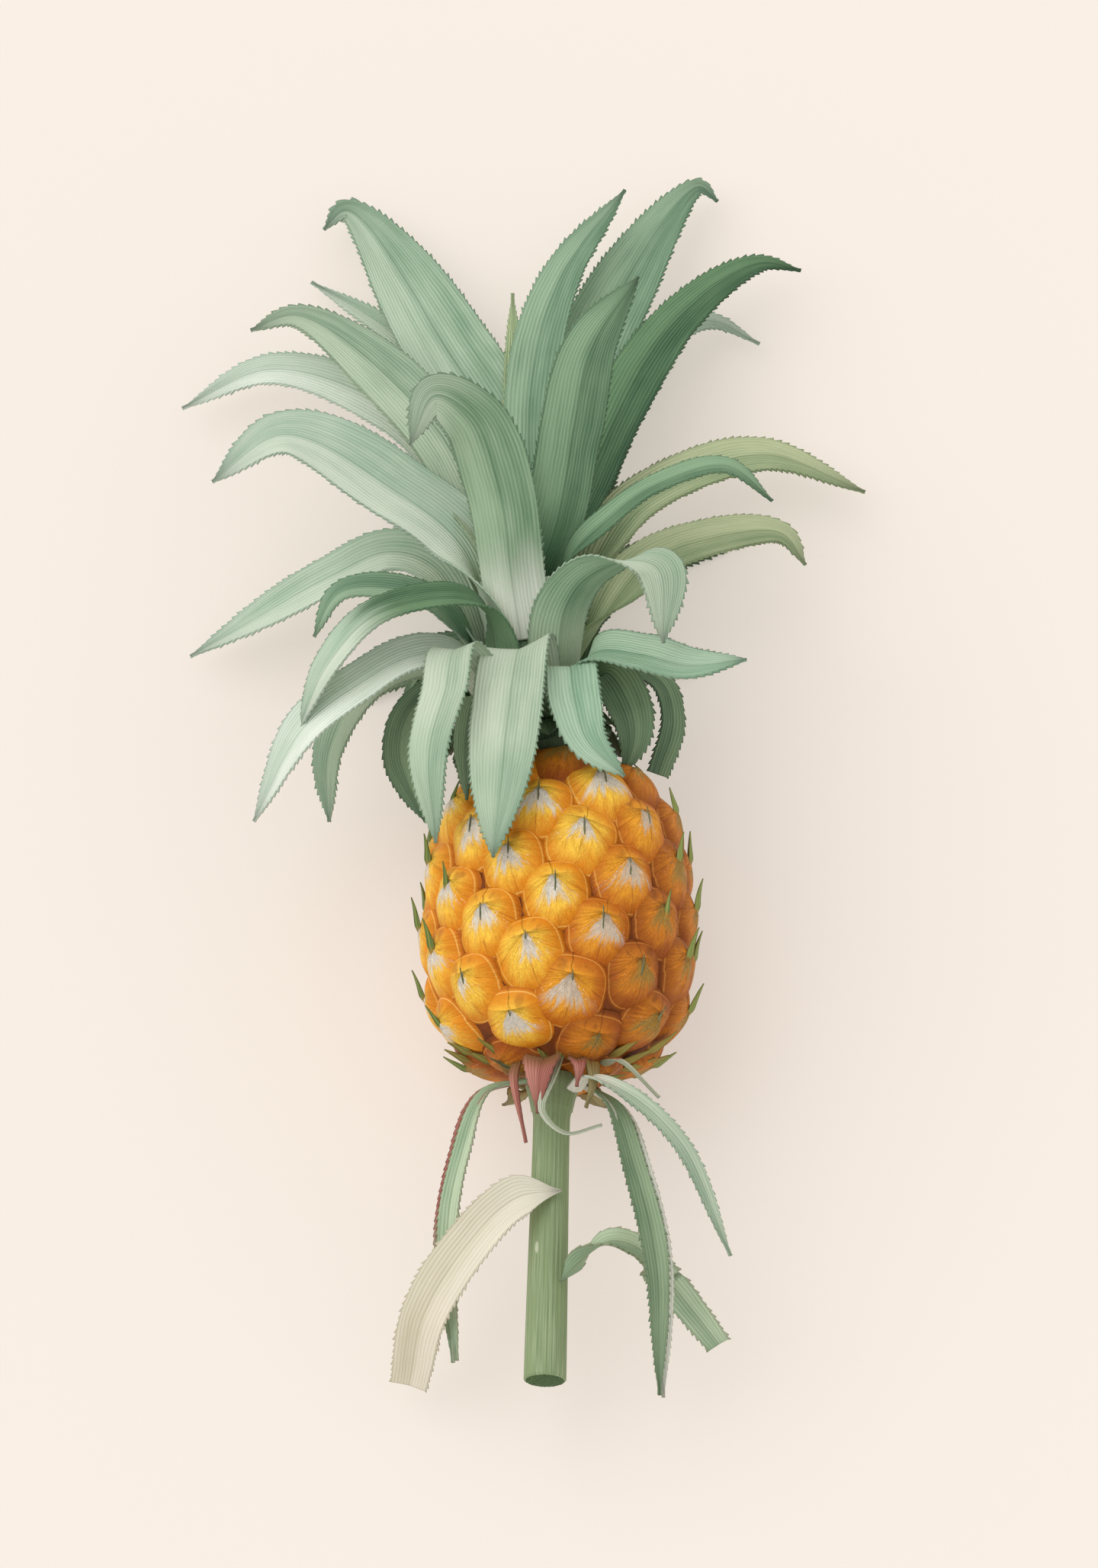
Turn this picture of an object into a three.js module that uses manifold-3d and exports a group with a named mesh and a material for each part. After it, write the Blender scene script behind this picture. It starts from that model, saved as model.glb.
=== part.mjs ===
// A ripe pineapple cut from its plant with the crown on it and a length of leafy stalk.
// It lies on its back. Millimetres: +Y runs from the cut stalk to the crown, +Z is up.
import * as THREE from 'three';
import { mergeVertices } from 'three/addons/utils/BufferGeometryUtils.js';
import Module from 'manifold-3d';

const wasm = await Module();
wasm.setup();

const UP = new THREE.Vector3(0, 0, 1);

// Fruit: a barrel of small fruitlets, each one an eye, on two crossing spirals
const FRUIT_RADIUS = 56.5;
const FRUIT_HALF_LENGTH = 73;
const FRUIT_SQUARENESS = 3.7;
const SHOULDER_TAPER = 0.1;
const GOLDEN_ANGLE = 137.508;
const EYE_RISE = 2.02;
const EYE_REACH = 15;
const EYE_HEIGHT = 5;
const FIRST_EYE = -71.5;
const FIRST_EYE_TURN = 79;
const EYE_COUNT = 71;
const FRUIT_SIDES = 36;
const FRUIT_ROWS = 20;

// Stalk
const STALK_RADIUS = 9.2;
const STALK_WAIST_RADIUS = 7.9;
const STALK_NECK_RADIUS = 12.5;
const STALK_TOP = -74;
const STALK_LENGTH = 139;
const STALK_LEAN = -1.4;
const STALK_SHIFT = -2.4;
const BRACT_ROOT_RADIUS = 24;

// Crown: a short core that the leaves clasp, leaning a little to the left
const CROWN_BASE = [-9, 74, 0];
const CROWN_LEAN = 4;
const CORE_PROFILE = [[0, 19], [12, 20], [45, 18], [72, 13], [96, 6]];

// Blades: straps channelled towards their upper side
const THICKNESS = 1.4;
const CLEARANCE = 0.35;
const RINGS = 11;
const BRACT_RINGS = 7;
const CROWDING = 1.3;
const CHANNEL_AT_BASE = 0.36;
const CHANNEL_AT_TIP = 0.14;
const BASE_SHARE = 0.88;
const TAPER_STARTS = 0.5;
const TAPER_POWER = 2.1;
const CUT_TAPER = 0.25;
const TIP_WIDTH = 1.2;
const TURNS_BY = 0.35;
const BRACT_TAPER_STARTS = 0.1;
const BRACT_TAPER_POWER = 0.9;
const ROLLS_FROM = 0.45;
const ROLLS_BY = 0.8;
const SECTION = [[-1, 1], [0, 1], [1, 1], [1, -1], [0, -1], [-1, -1]];

const GREENS = {
  front: 0x8fb39a,
  arch: 0x7ba388,
  left: 0xa4c5ad,
  right: 0x7f9f74,
  upper: 0x6d9a80,
  back: 0x4d7860,
  stalk: 0x86a583,
  bract: 0xb98a78,
};

// Crown leaves, from the front of the crown to its back. Each row is the name, the turn of
// the base round the core (0 faces up, 90 is to the right), the height of the base on the
// core, the width, how far the blade turns its upper side up, and then the points its midrib
// passes through, in the crown's own frame, ending at the tip.
const CROWN_LEAVES = [
  ['front_1', -6, 19, 33, 0, [-5, 38, 38], [-12, 5, 55], [-17, -26, 61], [-24, -67, 65]],
  ['front_2', -42, 15, 22, 0, [-33, 37, 46], [-39, 15, 55], [-48, -14, 58], [-48, -52, 46]],
  ['front_3', 30, 13, 22, 0, [16, 27, 42], [17, 5, 54], [21, -13, 56], [36, -29, 52]],
  ['arch_1', 34, 32, 29, 0, [16, 57, 34], [27, 66, 50], [43, 67, 62], [57, 60, 68], [57, 28, 62]],
  ['arch_2', -48, 29, 27, 0.4, [-18, 58, 32], [-31, 62, 42], [-68, 52, 54], [-90, 32, 48], [-104, 8, 36]],
  ['arch_3', -12, 50, 30, 0, [-6, 75, 28], [-9, 112, 44], [-18, 139, 58], [-35, 148, 68], [-47, 128, 62]],
  ['right_1', 52, 25, 28, 0.5, [28, 35, 36], [47, 29, 46], [67, 21, 50], [93, 21, 53]],
  ['left_1', -62, 23, 24, 0.6, [-29, 40, 28], [-53, 38, 38], [-77, 25, 42], [-102, 8, 38], [-126, -27, 20]],
  ['front_4', -24, 6, 16, 0, [-24, 21, 34], [-31, -1, 40], [-33, -31, 41]],
  ['upper_1', 26, 80, 30, 0, [16, 104, 20], [26, 144, 28], [37, 180, 34], [59, 209, 38]],
  ['left_7', -68, 46, 36, 0.8, [-25, 94, 14], [-54, 121, 24], [-101, 147, 34], [-134, 128, 32]],
  ['right_4', 56, 60, 17, 0.6, [20, 85, 18], [39, 101, 26], [60, 112, 34], [91, 116, 41], [110, 99, 40]],
  ['left_2', -80, 14, 22, 0.6, [-34, 39, 14], [-54, 40, 19], [-75, 31, 20], [-91, 6, 12], [-93, -23, 2]],
  ['right_2', 78, 11, 21, 0.4, [32, 30, 22], [41, 11, 28], [42, -3, 28], [37, -17, 24]],
  ['left_3', -86, 8, 22, 0.4, [-35, 34, 6], [-52, 27, 6], [-60, 7, 4], [-51, -28, 8]],
  ['left_5', -88, 38, 20, 0.5, [-40, 72, 10], [-61, 79, 16], [-82, 77, 18], [-94, 60, 12]],
  ['right_5', 84, 42, 26, 0.7, [36, 66, 4], [54, 86, 4], [79, 97, 0], [114, 101, -7], [124, 86, -8]],
  ['upper_2', -76, 62, 32, 0.8, [-19, 118, 6], [-37, 162, 2], [-90, 219, -10], [-112, 214, -10]],
  ['right_3', 98, 14, 13, 0.5, [40, 39, 0], [56, 32, 2], [60, 14, 0], [52, -8, -6]],
  ['left_4', -104, 13, 12, 0.5, [-32, 42, -8], [-48, 48, -12], [-57, 35, -14]],
  ['left_6', -104, 42, 22, 0.8, [-38, 99, -16], [-58, 110, -22], [-85, 102, -28], [-148, 76, -46]],
  ['right_6', 104, 52, 22, 0.8, [36, 104, -14], [57, 128, -20], [110, 148, -33], [154, 131, -42]],
  ['upper_3', -106, 54, 23, 0.9, [-33, 152, -18], [-56, 181, -24], [-104, 204, -34], [-144, 193, -46]],
  ['upper_4', 112, 70, 24, 0.8, [28, 124, -12], [73, 207, -24], [114, 238, -32], [133, 233, -30]],
  ['upper_5', -140, 78, 40, 0.8, [-3, 149, -20], [-25, 205, -30], [-65, 280, -42], [-76, 271, -40]],
  ['upper_6', 150, 84, 33, 0.8, [25, 163, -24], [48, 222, -34], [91, 281, -44], [99, 273, -42]],
  ['upper_7', 120, 92, 22, 0.8, [9, 174, -14], [26, 232, -20], [58, 275, -26]],
  ['upper_8', -150, 68, 16, 0.9, [-19, 185, -38], [-47, 221, -46], [-83, 251, -52]],
  ['upper_9', 140, 60, 17, 0.9, [32, 144, -34], [59, 203, -44], [91, 220, -51], [113, 208, -52]],
  ['upper_10', -170, 94, 9, 0.6, [2, 177, -20], [5, 231, -30]],
  ['back_1', 180, 34, 22, 1, [1, 88, -40], [1, 130, -56], [1, 167, -60]],
  ['back_2', 152, 26, 22, 1, [26, 84, -42], [56, 110, -57], [102, 119, -60]],
  ['back_3', -152, 26, 22, 1, [-20, 99, -42], [-48, 146, -57], [-88, 180, -60]],
  ['back_4', 124, 15, 20, 1, [27, 53, -36], [53, 64, -54], [79, 58, -60]],
  ['back_5', -124, 17, 20, 1, [-24, 63, -36], [-49, 69, -54], [-85, 53, -60]],
  ['back_6', 166, 44, 20, 1, [25, 123, -42], [49, 178, -56], [79, 220, -60]],
  ['back_7', -166, 46, 20, 1, [-7, 139, -42], [-21, 208, -56], [-47, 257, -60]],
  ['back_8', 172, 12, 20, 1, [6, 55, -38], [15, 104, -56], [22, 144, -60]],
];

// Stalk leaves and the small bracts under the fruit, in the fruit's frame. The second and
// third numbers are the turn round the axis and the distance along it from the fruit's middle.
const STALK_LEAVES = [
  ['stalk_1', -50, -78, 9, 0.6, [-31, -84, 10], [-42, -111, 6], [-48, -144, 0], [-44, -199, -14]],
  ['stalk_2', 8, -129, 20, 0.9, [-19, -134, 13], [-42, -158, 12], [-58, -180, -6], [-65, -202, -38]],
  ['stalk_3', 4, -171, 14, 0.8, [8, -164, 14], [22, -154, 14], [34, -155, 9], [48, -167, 0], [70, -190, -18]],
  ['stalk_4', 62, -80, 11, 0.6, [24, -94, 18], [33, -124, 24], [42, -163, 24], [44, -221, 4]],
  ['stalk_5', 30, -84, 8, 0.7, [14, -82, 24], [33, -92, 26], [54, -112, 20], [75, -157, 4]],
];
const BRACTS = [
  ['bract_1', -14, -73, 17, 0, [-8, -80, 28], [-9, -99, 26]],
  ['bract_2', 0, -73, 5, 0, [-3, -83, 28], [-7, -98, 27], [3, -108, 26], [19, -104, 25]],
  ['bract_3', 18, -73, 8, 0, [9, -78, 28], [8, -87, 27]],
  ['bract_4', 52, -73, 5, 0.3, [27, -74, 23], [44, -90, 21]],
  ['bract_5', -44, -73, 5, 0, [-19, -81, 21], [-14, -110, 19]],
  ['bract_6', 34, -73, 7, 0, [15, -84, 23], [12, -95, 22]],
  ['bract_7', 150, -73, 11, 0, [17, -75, -29], [21, -74.5, -36]],
  ['bract_8', -140, -73, 11, 0, [-19, -75, -26], [-24, -74.5, -33]],
];
const CUT_LEAVES = ['right_3', 'stalk_2', 'stalk_3'];

// Two arched leaves roll their drooping ends, in degrees, so that the ends show their width.
const END_ROLLS = { arch_1: 55, arch_3: 30 };

function fruitRadius(y) {
  const t = y / FRUIT_HALF_LENGTH;
  const barrel = Math.sqrt(Math.max(0, 1 - Math.abs(t) ** FRUIT_SQUARENESS));
  return FRUIT_RADIUS * barrel * (1 - SHOULDER_TAPER * Math.max(0, t));
}

function around(turn, radius, y) {
  const angle = THREE.MathUtils.degToRad(turn);
  return new THREE.Vector3(radius * Math.sin(angle), y, radius * Math.cos(angle));
}

function fruitEyes() {
  const eyes = [];
  for (let k = 0; k < EYE_COUNT; k += 1) {
    const y = FIRST_EYE + k * EYE_RISE;
    eyes.push(around(FIRST_EYE_TURN - k * GOLDEN_ANGLE, fruitRadius(y), y));
  }
  return eyes;
}

function fruitGeometry() {
  const profile = [];
  for (let i = 0; i <= FRUIT_ROWS; i += 1) {
    const angle = Math.PI * (i / FRUIT_ROWS - 0.5);
    const y = FRUIT_HALF_LENGTH * Math.sin(angle);
    profile.push(new THREE.Vector2(i === 0 || i === FRUIT_ROWS ? 0 : fruitRadius(y), y));
  }
  const geometry = new THREE.LatheGeometry(profile, FRUIT_SIDES);
  const eyes = fruitEyes();
  const place = geometry.getAttribute('position');
  for (let i = 0; i < place.count; i += 1) {
    const point = new THREE.Vector3().fromBufferAttribute(place, i);
    const nearest = Math.min(...eyes.map((eye) => eye.distanceTo(point)));
    const outward = new THREE.Vector3(point.x, 0, point.z);
    const fade = Math.min(1, outward.length() / 30);
    const bump = EYE_HEIGHT * fade * Math.max(0, 1 - (nearest / EYE_REACH) ** 2);
    point.addScaledVector(outward.normalize(), bump);
    place.setXYZ(i, point.x, point.y, point.z);
  }
  return geometry;
}

function stalkGeometry() {
  const profile = [
    new THREE.Vector2(0, -STALK_LENGTH),
    new THREE.Vector2(STALK_RADIUS, -STALK_LENGTH),
    new THREE.Vector2(STALK_WAIST_RADIUS, -30),
    new THREE.Vector2(STALK_WAIST_RADIUS, -18),
    new THREE.Vector2((STALK_WAIST_RADIUS + STALK_NECK_RADIUS) / 2, -7),
    new THREE.Vector2(STALK_NECK_RADIUS, 0),
    new THREE.Vector2(0, 0),
  ];
  return new THREE.LatheGeometry(profile, 20);
}

function stalkRadius(y) {
  return y > STALK_TOP - 20 ? STALK_NECK_RADIUS : STALK_RADIUS;
}

function coreRadius(height) {
  for (let i = 1; i < CORE_PROFILE.length; i += 1) {
    const [low, lowRadius] = CORE_PROFILE[i - 1];
    const [high, highRadius] = CORE_PROFILE[i];
    if (height <= high) {
      return THREE.MathUtils.mapLinear(height, low, high, lowRadius, highRadius);
    }
  }
  return CORE_PROFILE.at(-1)[1];
}

function coreGeometry() {
  const profile = CORE_PROFILE.map(([height, radius]) => new THREE.Vector2(radius, height));
  profile.unshift(new THREE.Vector2(0, 0));
  profile.push(new THREE.Vector2(0, CORE_PROFILE.at(-1)[0] + 3));
  return new THREE.LatheGeometry(profile, 18);
}

// A blade swells a little above its base, then narrows to its tip unless it was cut off.
function widthShare(u, { starts, power, depth }) {
  if (u < starts) {
    return THREE.MathUtils.lerp(BASE_SHARE, 1, u / starts);
  }
  return 1 - depth * ((u - starts) / (1 - starts)) ** power;
}

// Rings stand closer together towards the tip, where blades bend most.
function ringPlace(i, rings) {
  return 1 - (1 - i / (rings - 1)) ** CROWDING;
}

// The blade's sideways direction at each ring: carried along the midrib without spin, and
// turned so that the upper side looks up as far as the row's share says.
function bladeSides({ midrib, firstSide, facing, endRoll, rings }) {
  const sides = [];
  let carried = firstSide.clone();
  for (let i = 0; i < rings; i += 1) {
    const u = ringPlace(i, rings);
    const along = midrib.getTangentAt(u);
    carried = carried.addScaledVector(along, -carried.dot(along)).normalize();
    const upward = UP.clone().addScaledVector(along, -UP.dot(along)).normalize();
    const level = new THREE.Vector3().crossVectors(upward, along);
    const across = new THREE.Vector3().crossVectors(carried, level);
    const twist = Math.atan2(across.dot(along), carried.dot(level));
    const share = facing * THREE.MathUtils.smoothstep(u, 0, TURNS_BY);
    const roll = endRoll * THREE.MathUtils.smoothstep(u, ROLLS_FROM, ROLLS_BY);
    sides.push(carried.clone().applyAxisAngle(along, twist * share + roll));
  }
  return sides;
}

// One closed strap: six corners a ring, with the edges raised towards the upper side. The two
// sides are split along matching diagonals, so that the wall keeps its thickness in a twist.
function bladeGeometry(blade, grow = 0) {
  const { midrib, width, taper, rings } = blade;
  const corners = [];
  const sides = bladeSides(blade);
  for (let i = 0; i < rings; i += 1) {
    const u = ringPlace(i, rings);
    const middle = midrib.getPointAt(u);
    const along = midrib.getTangentAt(u);
    const upper = new THREE.Vector3().crossVectors(along, sides[i]);
    const half = Math.max(TIP_WIDTH, width * widthShare(u, taper)) / 2 + grow;
    const lift = THREE.MathUtils.lerp(CHANNEL_AT_BASE, CHANNEL_AT_TIP, Math.min(1, 2 * u)) * half;
    if (i === 0 || i === rings - 1) {
      middle.addScaledVector(along, i === 0 ? -grow : grow);
    }
    for (const [share, face] of SECTION) {
      const corner = middle.clone().addScaledVector(sides[i], share * half);
      corners.push(corner.addScaledVector(upper, Math.abs(share) * lift + face * (THICKNESS / 2 + grow)));
    }
  }
  const faces = [[0, 1, 4], [0, 4, 5], [1, 2, 3], [1, 3, 4]];
  const last = 6 * (rings - 1);
  const index = faces.flatMap(([a, b, c]) => [a, b, c, last + a, last + c, last + b]);
  for (let i = 0; i < rings - 1; i += 1) {
    for (let j = 0; j < 6; j += 1) {
      const a = 6 * i + j;
      const b = 6 * i + (j + 1) % 6;
      index.push(...(j < 3 ? [a, a + 6, b, b, a + 6, b + 6] : [a, a + 6, b + 6, a, b + 6, b]));
    }
  }
  const geometry = new THREE.BufferGeometry();
  geometry.setAttribute('position', new THREE.Float32BufferAttribute(corners.flatMap((c) => c.toArray()), 3));
  geometry.setIndex(index);
  return geometry;
}

function toSolid(geometry, matrix) {
  const plain = geometry.clone().applyMatrix4(matrix);
  plain.deleteAttribute('normal');
  plain.deleteAttribute('uv');
  const merged = mergeVertices(plain, 1e-4);
  const mesh = new wasm.Mesh({
    numProp: 3,
    vertProperties: new Float32Array(merged.getAttribute('position').array),
    triVerts: new Uint32Array(merged.getIndex().array),
  });
  return new wasm.Manifold(mesh);
}

function toGeometry(solid) {
  const mesh = solid.getMesh();
  const geometry = new THREE.BufferGeometry();
  geometry.setAttribute('position', new THREE.Float32BufferAttribute(mesh.vertProperties, 3));
  geometry.setIndex(new THREE.Uint32BufferAttribute(mesh.triVerts, 1));
  geometry.computeVertexNormals();
  return geometry;
}

function largestPiece(solid) {
  return solid.decompose().reduce((best, piece) => (piece.volume() > best.volume() ? piece : best));
}

function plainMesh(name, geometry, color, roughness) {
  const mesh = new THREE.Mesh(geometry, new THREE.MeshStandardMaterial({ color, roughness, metalness: 0 }));
  mesh.name = name;
  return mesh;
}

const pineapple = new THREE.Group();

const crownFrame = new THREE.Matrix4().makeRotationZ(THREE.MathUtils.degToRad(CROWN_LEAN));
crownFrame.setPosition(...CROWN_BASE);
const stalkFrame = new THREE.Matrix4().makeRotationZ(THREE.MathUtils.degToRad(STALK_LEAN));
stalkFrame.setPosition(STALK_SHIFT, STALK_TOP, 0);
const fruitFrame = new THREE.Matrix4();

const placed = [];

function addSolid(name, solid, color, roughness) {
  placed.push({ name, solid, box: solid.boundingBox() });
  pineapple.add(plainMesh(name, toGeometry(solid), color, roughness));
}

function boxesMeet(a, b) {
  return [0, 1, 2].every((k) => a.min[k] < b.max[k] + CLEARANCE && b.min[k] < a.max[k] + CLEARANCE);
}

// Each leaf is trimmed clear of the ones laid before it, and keeps its largest piece.
function addLeaf([name, turn, base, width, facing, ...points], frame, rootRadius, rings, taper) {
  const root = around(turn, rootRadius(base) + THICKNESS / 2 + CLEARANCE, base);
  const route = [root, ...points.map((point) => new THREE.Vector3(...point))];
  const midrib = new THREE.CatmullRomCurve3(route, false, 'centripetal');
  const firstSide = around(turn + 90, 1, 0);
  const endRoll = THREE.MathUtils.degToRad(END_ROLLS[name] ?? 0);
  const depth = CUT_LEAVES.includes(name) ? CUT_TAPER : 1;
  const blade = { midrib, firstSide, width, facing, endRoll, taper: { ...taper, depth }, rings };
  let solid = toSolid(bladeGeometry(blade), frame);
  for (const other of placed) {
    if (boxesMeet(solid.boundingBox(), other.box)) {
      solid = solid.subtract(other.fat ?? other.solid);
    }
  }
  solid = largestPiece(solid);
  addSolid(name, solid, GREENS[name.split('_')[0]], 0.6);
  placed.at(-1).fat = toSolid(bladeGeometry(blade, CLEARANCE), frame);
}

addSolid('fruit', toSolid(fruitGeometry(), fruitFrame), 0xd9811e, 0.5);
addSolid('stalk', toSolid(stalkGeometry(), stalkFrame), 0x7fa070, 0.6);
addSolid('crown_core', toSolid(coreGeometry(), crownFrame), 0x6f8f66, 0.7);
const leafTaper = { starts: TAPER_STARTS, power: TAPER_POWER };
const bractTaper = { starts: BRACT_TAPER_STARTS, power: BRACT_TAPER_POWER };
CROWN_LEAVES.forEach((row) => addLeaf(row, crownFrame, coreRadius, RINGS, leafTaper));
STALK_LEAVES.forEach((row) => addLeaf(row, fruitFrame, stalkRadius, RINGS, leafTaper));
BRACTS.forEach((row) => addLeaf(row, fruitFrame, () => BRACT_ROOT_RADIUS, BRACT_RINGS, bractTaper));

const box = new THREE.Box3().setFromObject(pineapple);
const middle = box.getCenter(new THREE.Vector3());
pineapple.position.set(-middle.x, -middle.y, -box.min.z);

export default pineapple;
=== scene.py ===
# %% [markdown]
# # A cut pineapple with its crown and a length of leafy stalk
# The fruit lies on its back on a pale table, seen from above. The solid model comes first:
# it says where every leaf, the fruit and the stalk are. This script then models each of them
# again with the detail that a hand can see, in the same place and at the same size.
# One metre in the model is one metre in Blender. +Y runs from the cut stalk to the crown.

# %% Load the solid model
import math

import bpy
import numpy as np
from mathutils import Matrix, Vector


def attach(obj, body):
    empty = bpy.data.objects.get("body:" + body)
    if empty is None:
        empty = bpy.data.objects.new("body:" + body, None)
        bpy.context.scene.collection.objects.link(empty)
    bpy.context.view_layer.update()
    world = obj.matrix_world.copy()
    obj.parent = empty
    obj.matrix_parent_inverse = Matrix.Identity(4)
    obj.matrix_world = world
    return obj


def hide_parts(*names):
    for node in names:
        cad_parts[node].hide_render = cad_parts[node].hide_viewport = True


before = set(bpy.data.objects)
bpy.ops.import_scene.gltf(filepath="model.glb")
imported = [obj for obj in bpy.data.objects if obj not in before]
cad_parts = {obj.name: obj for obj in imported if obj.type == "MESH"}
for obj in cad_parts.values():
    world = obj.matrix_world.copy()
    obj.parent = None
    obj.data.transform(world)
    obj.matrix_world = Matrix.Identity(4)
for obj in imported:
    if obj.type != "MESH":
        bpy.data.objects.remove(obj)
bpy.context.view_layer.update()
bpy.ops.object.select_all(action="DESELECT")

# %% [markdown]
# ## Where the fruit's middle is
# Every size below is in millimetres from the middle of the fruit. The stalk's cut end is a
# circle, so the middle of its box is the stalk's axis, and the fruit's middle follows from
# the stalk's length and lean.

# %% Find the fruit's middle
MM = 0.001
STALK_LENGTH, STALK_LEAN, STALK_SHIFT, STALK_TOP = 139, -1.4, -2.4, -74


def turned(points, degrees, move):
    """Points turned round Z by so many degrees, then moved."""
    c, s = math.cos(math.radians(degrees)), math.sin(math.radians(degrees))
    turn = np.array([[c, s, 0], [-s, c, 0], [0, 0, 1]])
    return np.asarray(points, float) @ turn + np.array(move, float)


def stalk_frame(points):
    return turned(points, STALK_LEAN, (STALK_SHIFT, STALK_TOP, 0))


def crown_frame(points):
    return turned(points, 4, (-9, 74, 0))


def fruit_frame(points):
    return np.asarray(points, float)


stalk_points = np.array([v.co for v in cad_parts["stalk"].data.vertices])
cut_rim = stalk_points[stalk_points[:, 1] < stalk_points[:, 1].min() + 0.001]
cut_middle = (cut_rim.min(0) + cut_rim.max(0)) / 2
fruit_middle = cut_middle - stalk_frame([[0, -STALK_LENGTH, 0]])[0] * MM
print("fruit's middle:", fruit_middle.round(4))

# %% [markdown]
# ## Camera, table and light
# A very long lens from well above keeps the plant's parts in proportion, as a plant painter
# draws them. The table is a pale light table that glows a little, so shadows on it stay faint.
# The sky gives most of the light, and a broad, soft sun from the upper left gives the leaves
# and the fruit their roundness. A sun lights the whole table alike, which near lamps don't.

# %% Camera
ELEVATION = math.radians(70)
LENS = 600
PICTURE_HEIGHT = 0.687
SENSOR = 36
distance = PICTURE_HEIGHT * LENS / SENSOR
aim = Vector(fruit_middle) + Vector((-0.004, 0.0630, 0.0))
camera_data = bpy.data.cameras.new("camera")
camera_data.lens, camera_data.sensor_width = LENS, SENSOR
camera = bpy.data.objects.new("camera", camera_data)
bpy.context.collection.objects.link(camera)
back = Vector((0, -math.cos(ELEVATION), math.sin(ELEVATION)))
camera.location = aim + back * distance
camera.rotation_mode = "QUATERNION"
camera.rotation_quaternion = (-back).to_track_quat("-Z", "Y")
bpy.context.scene.camera = camera
print("camera is", round(distance, 2), "m away")

# %% Table and light


def rgb(code):
    """A colour written as six hex digits, as Blender's linear numbers."""
    parts = [int(code[i : i + 2], 16) / 255 for i in (0, 2, 4)]
    linear = [c / 12.92 if c <= 0.04045 else ((c + 0.055) / 1.055) ** 2.4 for c in parts]
    return (*linear, 1.0)


bpy.context.scene.view_settings.view_transform = "Standard"
world = bpy.data.worlds.new("studio")
world.use_nodes = True
sky = world.node_tree.nodes["Background"].inputs
sky["Color"].default_value = (1.0, 0.985, 0.965, 1)
sky["Strength"].default_value = 0.8
bpy.context.scene.world = world

bpy.ops.mesh.primitive_plane_add(size=80, location=(0, 0, 0))
table = bpy.context.object
table.name = "table"
paper = bpy.data.materials.new("table_paper")
paper.use_nodes = True
surface = paper.node_tree.nodes["Principled BSDF"].inputs
surface["Base Color"].default_value = (0.487, 0.444, 0.403, 1)
surface["Emission Color"].default_value = (0.43, 0.392, 0.356, 1)
surface["Emission Strength"].default_value = 1.0
surface["Roughness"].default_value = 0.95
surface["Specular IOR Level"].default_value = 0.0
table.data.materials.append(paper)


def add_sun(name, direction, strength, spread):
    """A soft sun that shines from a direction, with its spread in degrees."""
    data = bpy.data.lights.new(name, "SUN")
    data.energy, data.angle = strength, math.radians(spread)
    sun = bpy.data.objects.new(name, data)
    bpy.context.collection.objects.link(sun)
    sun.rotation_mode = "QUATERNION"
    sun.rotation_quaternion = (-Vector(direction)).to_track_quat("-Z", "Y")


add_sun("window", (-0.62, 0.28, 0.9), 1.15, 60)

# %% [markdown]
# ## Node helpers
# Finishes here are built from nodes. These helpers add one node, join sockets and give back
# the socket that holds the answer, so that a finish reads as a short recipe.

# %% Node helpers


def add_node(tree, kind, inputs=None, **settings):
    """Adds a node, sets it up, and joins or fills its inputs."""
    made = tree.nodes.new(kind)
    for key, value in settings.items():
        setattr(made, key, value)
    for key, value in (inputs or {}).items():
        if isinstance(value, bpy.types.NodeSocket):
            tree.links.new(value, made.inputs[key])
        else:
            made.inputs[key].default_value = value
    return made


def sums(tree, operation, a, b=0.0, c=0.0):
    """One step of arithmetic."""
    return add_node(tree, "ShaderNodeMath", {0: a, 1: b, 2: c}, operation=operation).outputs[0]


def times(tree, a, b):
    return sums(tree, "MULTIPLY", a, b)


def nudged(tree, by, amount, value):
    """A value moved up or down by so much of a soft noise, which is 0.5 on average."""
    return sums(tree, "MULTIPLY_ADD", sums(tree, "SUBTRACT", by, 0.5), amount, value)


def blend(tree, share, a, b):
    """Colour a where share is 0 and colour b where it is 1."""
    return add_node(tree, "ShaderNodeMix", {0: share, 6: a, 7: b}, data_type="RGBA").outputs[2]


def step(tree, value, low, high, smooth=True):
    """0 below low and 1 above high, or the other way round where low is above high."""
    kind = "SMOOTHSTEP" if smooth else "LINEAR"
    wanted = {"Value": value, "From Min": low, "From Max": high}
    if low > high:
        wanted = {"Value": value, "From Min": high, "From Max": low, "To Min": 1.0, "To Max": 0.0}
    return add_node(tree, "ShaderNodeMapRange", wanted, interpolation_type=kind).outputs[0]


def join_xyz(tree, x, y, z=0.0):
    return add_node(tree, "ShaderNodeCombineXYZ", {0: x, 1: y, 2: z}).outputs[0]


def split_xyz(tree, vector):
    """The three parts of a vector."""
    return add_node(tree, "ShaderNodeSeparateXYZ", {0: vector}).outputs


def scaled(tree, uv, across, along):
    """UV coordinates with each direction scaled, to stretch a noise."""
    return join_xyz(tree, times(tree, uv[0], across), times(tree, uv[1], along))


def noise(tree, vector, scale=1.0, detail=2.0):
    """Soft noise round 0.5 at a point."""
    settings = {"Vector": vector, "Scale": scale, "Detail": detail}
    return add_node(tree, "ShaderNodeTexNoise", settings).outputs[0]


def floats(*names):
    """Group outputs that are plain numbers."""
    return [(name, "NodeSocketFloat") for name in names]


def new_group(name, inputs, outputs):
    """An empty node group with named inputs and outputs."""
    tree = bpy.data.node_groups.new(name, "ShaderNodeTree")
    for label, kind in inputs:
        tree.interface.new_socket(label, in_out="INPUT", socket_type=kind)
    for label, kind in outputs:
        tree.interface.new_socket(label, in_out="OUTPUT", socket_type=kind)
    start = tree.nodes.new("NodeGroupInput")
    end = tree.nodes.new("NodeGroupOutput")
    return tree, start.outputs, end.inputs


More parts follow.
